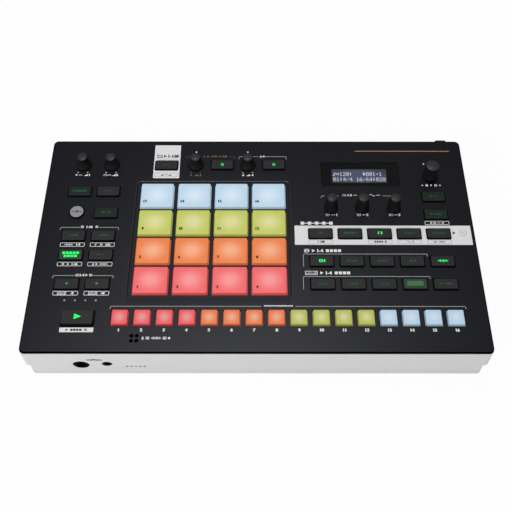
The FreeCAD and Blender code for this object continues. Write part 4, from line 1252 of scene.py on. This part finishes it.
def build_knobs():
    """Knobs: skirt, ribbed grip, a slightly domed face let into it, and the shaft. The steps give
    radius and height of skirt foot, skirt shoulder, neck and tip."""
    pot = [(8.4, 0.8), (8.4, 1.8), (6.0, 6.2), (5.2, 14.3)]
    encoder = [(7.2, 0.8), (7.2, 2.2), (6.7, 3.4), (5.2, 19.5)]
    value = [(7.9, 0.8), (7.9, 2.6), (7.5, 3.4), (6.9, 19.0)]
    for node, (x, y) in KNOB_SPOTS.items():
        steps = value if node == "knob_value" else encoder if "ctrl" in node else pot
        (skirt, low), (_, shoulder), (neck, waist), (tip, high) = steps
        low, shoulder, waist, high = (PANEL_TOP + h for h in (low, shoulder, waist, high))
        profile = [(SHAFT_RADIUS, low), (skirt - 0.3, low), (skirt, low + 0.3), (skirt, shoulder - 0.2),
                   (skirt - 0.1, shoulder), (neck + 0.1, waist - 0.1), (neck, waist + 0.3),
                   (neck - 0.03, waist + 0.8, "rib"), (tip + 0.06, high - 1.7, "rib"), (tip, high - 1.3),
                   (tip - 0.06, high - 1.0), (tip - 0.22, high - 0.84), (tip - 0.45, high - 0.8),
                   (tip - 0.46, high - 1.5)]
        grip = turned(x, y, profile, KNOB_STEPS, KNOB_RIBS, RIB_DEPTH)
        finish_piece(f"{node}_grip", grip, KNOB, node, replaces=node, smooth=60.0)
        rim = tip - 0.45
        face = [(rim, high - 1.4), (rim, high - 0.84)]
        face += [(rim * share, high - 0.8 * share ** 2) for share in (0.96, 0.88, 0.76, 0.6, 0.4, 0.2, 0.06)]
        finish_piece(f"{node}_face", turned(x, y, face), KNOB_CAP, node)
        if node != "knob_value":
            shaft = turned(x, y, [(SHAFT_RADIUS, SHAFT_FOOT), (SHAFT_RADIUS, low)], 32)
            finish_piece(f"{node}_shaft", shaft, STEEL, node)


# Prints on the panel

def build_prints():
    """Prints on the panel: lines over the groups of keys, and rows of plain signs and numbers."""
    white = Ink("print_white", WHITE_INK)
    lines = Ink("print_lines", SOFT_INK)
    brown = Ink("print_brown", BROWN_INK)
    tan = Ink("print_tan", TAN_INK)

    # Knobs
    knob_labels = {"knob_volume": (white, "speaker dash wedge 1", 15.0),
                   "knob_phones": (white, "phones dash wedge 2", 15.0),
                   "knob_tune": (tan, "note wedge 3", 11.7),
                   "knob_gain": (white, "mic wedge 4", 11.7)}
    for node, (ink, label, span) in knob_labels.items():
        x = KNOB_SPOTS[node][0]
        for side in (-5.05, 5.05):
            ink.disc(x + side, 41.8, 0.55)
        ink.row(label, x, 45.0, 2.7, span=span)
    for x, y in ((153.8, 14.8), (208.6, 14.8), (394.5, 30.5)):
        white.disc(x, y, 0.85)
    white.row("minus ring down ring plus", 399.4, 57.9, 2.6, span=20.8, line=0.7)

    # Lines over the groups and the labels in their gaps
    bracket(lines, 199.2, 249.3, 20.8, (3.4, 3.4), ((203.4, 213.8), (220.6, 226.9)))
    bracket(brown, 144.0, 194.4, 20.9, (3.0, 3.0), ((147.6, 158.6), (160.2, 187.4)))
    tan.row("mic bars wave play 1-8", 173.6, 20.6, 2.5, span=24.5)
    white.row("mic dot", 223.8, 20.7, 2.7, gap=0.8)
    bracket(lines, 21.0, 79.5, 109.6, (2.8, 2.8), ((40.4, 60.0),))
    white.row("grid 1-16 grid", 50.2, 109.0, 2.7, span=17.5)
    bracket(lines, 21.0, 79.5, 164.4, (2.8, 2.8), ((41.8, 60.0),))
    white.row("bars 1-4 play bars", 50.9, 163.9, 2.7, span=16.4)
    bracket(lines, 284.5, 361.8, 71.2, (2.6, 2.6), ((288.0, 299.5), (302.5, 347.5)))
    white.row("faders 1-3 dash", 313.9, 70.3, 2.7, span=15.5)
    white.row("sine dash", 339.8, 70.3, 2.7, span=11.4)
    bracket(lines, 263.8, 385.7, 140.2, (14.0, 2.5))
    bracket(lines, 263.1, 385.6, 165.2, (14.0, 2.5))
    bracket(lines, 79.8, 415.5, 197.2, (2.8, 2.8), ((222.6, 254.8),))
    white.row("steps", 238.7, 196.7, 3.1)

    # Numbers of steps and controls, headings of the rows of keys, microphone
    for number, x in enumerate(STEP_COLUMNS, 1):
        white.numerals(str(number), x, 221.5, 3.1)
    for number in (1, 2, 3):
        x = KNOB_SPOTS[f"knob_ctrl_{number}"][0]
        white.row(f"faders dash {number}", x, 94.4, 2.8, span=11.5)
    white.row("flow", 278.5, 104.4, 3.2, line=0.9)
    white.row("drum play 1-4 cells", 283.2, 136.4, 3.6, span=37.0, line=0.7)
    white.row("piano play 1-4 cells", 287.0, 161.3, 3.6, span=44.2)
    white.row("mic bars wave bars dot", 125.0, 229.7, 2.9, span=26.8, line=0.65)

    # Boxed labels under keys
    boxes = {129.7: ("wave 1-9", "note bars 135"), 183.5: ("piano -8", "piano +8"),
             151.7: ("grid play 1-16", "mic play wave")}
    for y, labels in boxes.items():
        for x, label in zip((35.4, 65.1), labels):
            white.box(x, y, 23.8, 4.1, 0.5, 0.9)
            white.row(label, x, y, 2.5, span=15.5)
    white.box(399.8, 104.0, 24.2, 4.0, 0.5, 0.9)
    white.row("gear bars dash gear", 399.8, 104.0, 2.4, span=14.5)
    gold = Ink("print_gold", GOLD_INK)
    gold.plate(373.5, 13.5, 101.0, 1.0)
    for ink in (white, lines, brown, tan, gold):
        ink.done()


def build_plates():
    """White printed plates round the project key and the workflow keys, with their dark marks."""
    for name, outer, node in (("plate_project", (123.2, 27.45, 27.5, 43.2, 0.8), "key_project"),
                              ("plate_workflow", (344.25, 118.5, 176.5, 22.4, 0.6), "workflow_keys")):
        openings = [around(spot, KEY_SIZE, KEY_GAP + 0.3, 1.6) for spot in SMALL_KEYS[node]]
        pierced(name, LIGHT_PLATE, outer, openings, PANEL_TOP)
    plate = Ink("plate_start_stop", LIGHT_PLATE)
    plate.plate(50.6, 221.5, 31.6, 4.7, 0.5)
    plate.done()
    above = flat(PANEL_TOP + INK_THICK)
    dark = Ink("plate_marks", DARK_INK, surface=above)
    dark.row("folder play 1-128", 123.6, 20.5, 3.7, span=22.5, line=0.8)
    dark.row("tray dash tray", 123.2, 44.6, 2.2, span=11.0)
    dark.row("play cells bars", 50.6, 221.5, 2.5, span=20.0)
    dark.sign("play", 415.5, 115.8, 3.4, 0.4)
    faint = Ink("plate_lines", FAINT_INK, surface=above)
    labels = ("note 120", None, "cells 8", "sine 1", "faders wave")
    for x, label in zip(TRACK_COLUMNS, labels):
        if label:
            dark.row(label, x, 126.1, 2.1, gap=1.6, line=0.4)
            faint.box(x, 126.1, 23.8, 3.7, 0.28, 0.3)
    dark.done()
    faint.box(123.2, 44.6, 24.0, 4.2, 0.28, 0.3)
    for u, v in circle(3.5, 12):
        faint.disc(424.5 + u, 115.8 + v, 0.5, 8)
    faint.sign("sine", 424.5, 115.8, 2.2, 0.5)
    faint.done()


# Display, lamps and microphone

# Rows of lit cells of each sign on the display
DOTS = {
    "0": "01110 10001 10011 10101 11001 10001 01110", "1": "00100 01100 00100 00100 00100 00100 01110",
    "2": "01110 10001 00001 00010 00100 01000 11111", "3": "11111 00010 00100 00010 00001 10001 01110",
    "4": "00010 00110 01010 10010 11111 00010 00010", "5": "11111 10000 11110 00001 00001 10001 01110",
    "6": "00110 01000 10000 11110 10001 10001 01110", "8": "01110 10001 10001 01110 10001 10001 01110",
    "-": "00000 00000 00000 11111 00000 00000 00000", ":": "00000 01100 01100 00000 01100 01100 00000",
    ">": "01000 01100 01110 01111 01110 01100 01000", "n": "00100 00110 00101 00101 00100 11100 11100",
    "/": "00000 00001 00010 00100 01000 10000 00000", "=": "00000 00000 11111 00000 11111 00000 00000",
    " ": "",
}
DISPLAY_LINES = ("n=120:   >001-1", "01:4/4 16/64:020")

# Share of the lit field over which its light falls off
LIT_REACH = 0.62


def build_display():
    """Display body, its lit field with dot-matrix numerals, the black border and the lens."""
    rings = [(outline(72, 25, 0.6), LCD_BODY_FOOT), (outline(72, 25, 0.6), LCD_BODY_TOP - 0.2),
             (outline(71.6, 24.6, 0.5), LCD_BODY_TOP), (outline(60, 19.4, 0.4), LCD_BODY_TOP),
             (outline(60, 19.4, 0.4), LCD_GLASS)]
    body = stack(rings, *LCD_OPENING[:2])
    finish_piece("display_body", body, LCD_BODY, replaces="display_module", weighted=True)
    x, y, width, depth, corner = LCD_LIT
    rings = [(outline(width, depth, corner), z) for z in (LCD_GLASS, LCD_GLASS + INK_THICK)]
    finish_piece("display_field", stack(rings, x, y, (width * LIT_REACH, depth * LIT_REACH)), LCD)

    dots = Ink("display_dots", LCD_DOT, surface=flat(LCD_GLASS + INK_THICK))
    pitch, cell_width, cell_depth = 3.45, 0.60, 0.68
    for line, row_middle in zip(DISPLAY_LINES, (42.55, 49.35)):
        for column, sign in enumerate(line):
            left = x + (column - 8) * pitch + 0.25
            for r, cells in enumerate(DOTS[sign].split()):
                for c, cell in enumerate(cells):
                    if cell == "1":
                        u = left + (c + 0.5) * cell_width
                        v = row_middle + (r - 3) * cell_depth
                        dots.plate(u, v, cell_width - 0.04, cell_depth - 0.04, 0.05)
    dots.done()

    seat = PANEL_TOP - WINDOW_THICK
    border = around(WINDOW[:2], WINDOW[2:4], -0.4, 0.8)
    pierced("display_border", WINDOW_INK, border, [around((x, y), (width, depth), 0.3, 0.4)], seat + 0.01)
    width, depth = WINDOW[2] - 0.3, WINDOW[3] - 0.3
    rings = [(outline(width, depth, 0.9), seat), (outline(width, depth, 0.9), PANEL_TOP - 0.2),
             (outline(width - 0.12, depth - 0.12, 0.85), PANEL_TOP - 0.06),
             (outline(width - 0.4, depth - 0.4, 0.75), PANEL_TOP)]
    finish_piece("display_lens", stack(rings, *WINDOW[:2]), LENS, replaces="display_window", weighted=True)


def build_lamps():
    """Light-grey lenses of the four lamps, on their lamps, and the screen under the microphone holes."""
    profile = [(1.0, 54.72), (1.05, 54.8), (1.05, 55.0), (0.9, 55.12), (0.55, 55.2), (0.2, 55.24)]
    for i, x in enumerate(LED_COLUMNS):
        finish_piece(f"lamp_lens_{i + 1}", turned(x, LED_ROW, profile, 32), LAMP_OFF)
    radius = MIC_HOLE - 0.02
    profile = [(radius, PANEL_UNDER), (radius, PANEL_UNDER + 0.15)]
    screens = [turned(*spot, profile, 28) for spot in MIC_HOLES]
    finish_piece("microphone_screen", joined(screens), FELT)


build_case()
build_case_marks()
build_feet_and_screws()
build_sockets()
build_panel()
build_pad_frame()
dress_carried_nodes()
build_pads()
build_step_keys()
build_small_keys()
build_start_and_clear_keys()
build_power_button()
build_knobs()
build_prints()
build_plates()
build_display()
build_lamps()
for numeral, _, _ in NUMERALS.values():
    bpy.data.meshes.remove(numeral)


# Floor, light and camera

FLOOR_REACH = 6.0
FLOOR_GLOW = 0.965
WORLD_STRENGTH = 0.33
SENSOR_WIDTH = 36.0


def build_floor():
    """White ground that takes the object's shadow. It glows for what sees it, so that it fills the
    view evenly, and reflects the lamps for the rest."""
    made = bmesh.new()
    bmesh.ops.create_grid(made, x_segments=1, y_segments=1, size=FLOOR_REACH)
    floor = put("floor", mesh_of(made, "floor"))
    shader = Shader("floor_white", (0.9, 0.9, 0.9), 0.9, 0.0)
    path = shader.node("ShaderNodeLightPath")
    seen = path.outputs["Is Camera Ray"]
    for kind in ("Is Glossy Ray", "Is Transmission Ray"):
        seen = shader.calculated("MAXIMUM", seen, path.outputs[kind])
    mix = shader.node("ShaderNodeMixShader")
    shader.link(shader.calculated("MULTIPLY", seen, FLOOR_GLOW), mix.inputs["Fac"])
    shader.link(shader.bsdf.outputs[0], mix.inputs[1])
    shader.link(shader.node("ShaderNodeEmission", Strength=1.0).outputs[0], mix.inputs[2])
    shader.link(mix.outputs[0], shader.tree.nodes["Material Output"].inputs["Surface"])
    floor.data.materials.append(shader.material)


def build_world():
    """Even white surroundings."""
    world = bpy.data.worlds.new("studio")
    scene.world = world
    world.use_nodes = True
    background = world.node_tree.nodes["Background"]
    background.inputs["Color"].default_value = (1.0, 1.0, 1.0, 1.0)
    background.inputs["Strength"].default_value = WORLD_STRENGTH


def softbox(name, location, target, size, power):
    """Rectangular lamp that faces its target; lengths in metres."""
    lamp = bpy.data.lights.new(name, "AREA")
    lamp.shape = "RECTANGLE"
    lamp.size, lamp.size_y = size
    lamp.energy = power
    holder = put(name, lamp)
    holder.location = location
    direction = Vector(target) - Vector(location)
    holder.rotation_euler = direction.to_track_quat("-Z", "Y").to_euler()


def build_camera():
    """Camera in front of and above the panel."""
    camera = bpy.data.cameras.new("camera")
    camera.sensor_width = SENSOR_WIDTH
    camera.lens = CAMERA_LENS
    camera.shift_y = CAMERA_SHIFT_Y
    camera.clip_end = 50.0
    holder = put("camera", camera)
    pitch = Matrix.Rotation(math.radians(90 - CAMERA_PITCH), 4, "X")
    roll = Matrix.Rotation(math.radians(CAMERA_ROLL), 4, "Z")
    spot = Matrix.Translation(Vector(CAMERA_PLACE) * MM)
    holder.matrix_world = spot @ pitch @ roll
    scene.camera = holder


build_floor()
build_world()
softbox("front_light", location=(-1.0, -1.30, 1.15), target=(0, 0, 0.03), size=(1.2, 0.8), power=16.5)
softbox("top_light", location=(-0.10, 0.50, 2.0), target=(0, 0.05, 0.05), size=(0.8, 0.5), power=10.5)
build_camera()
scene.view_settings.view_transform = "Standard"
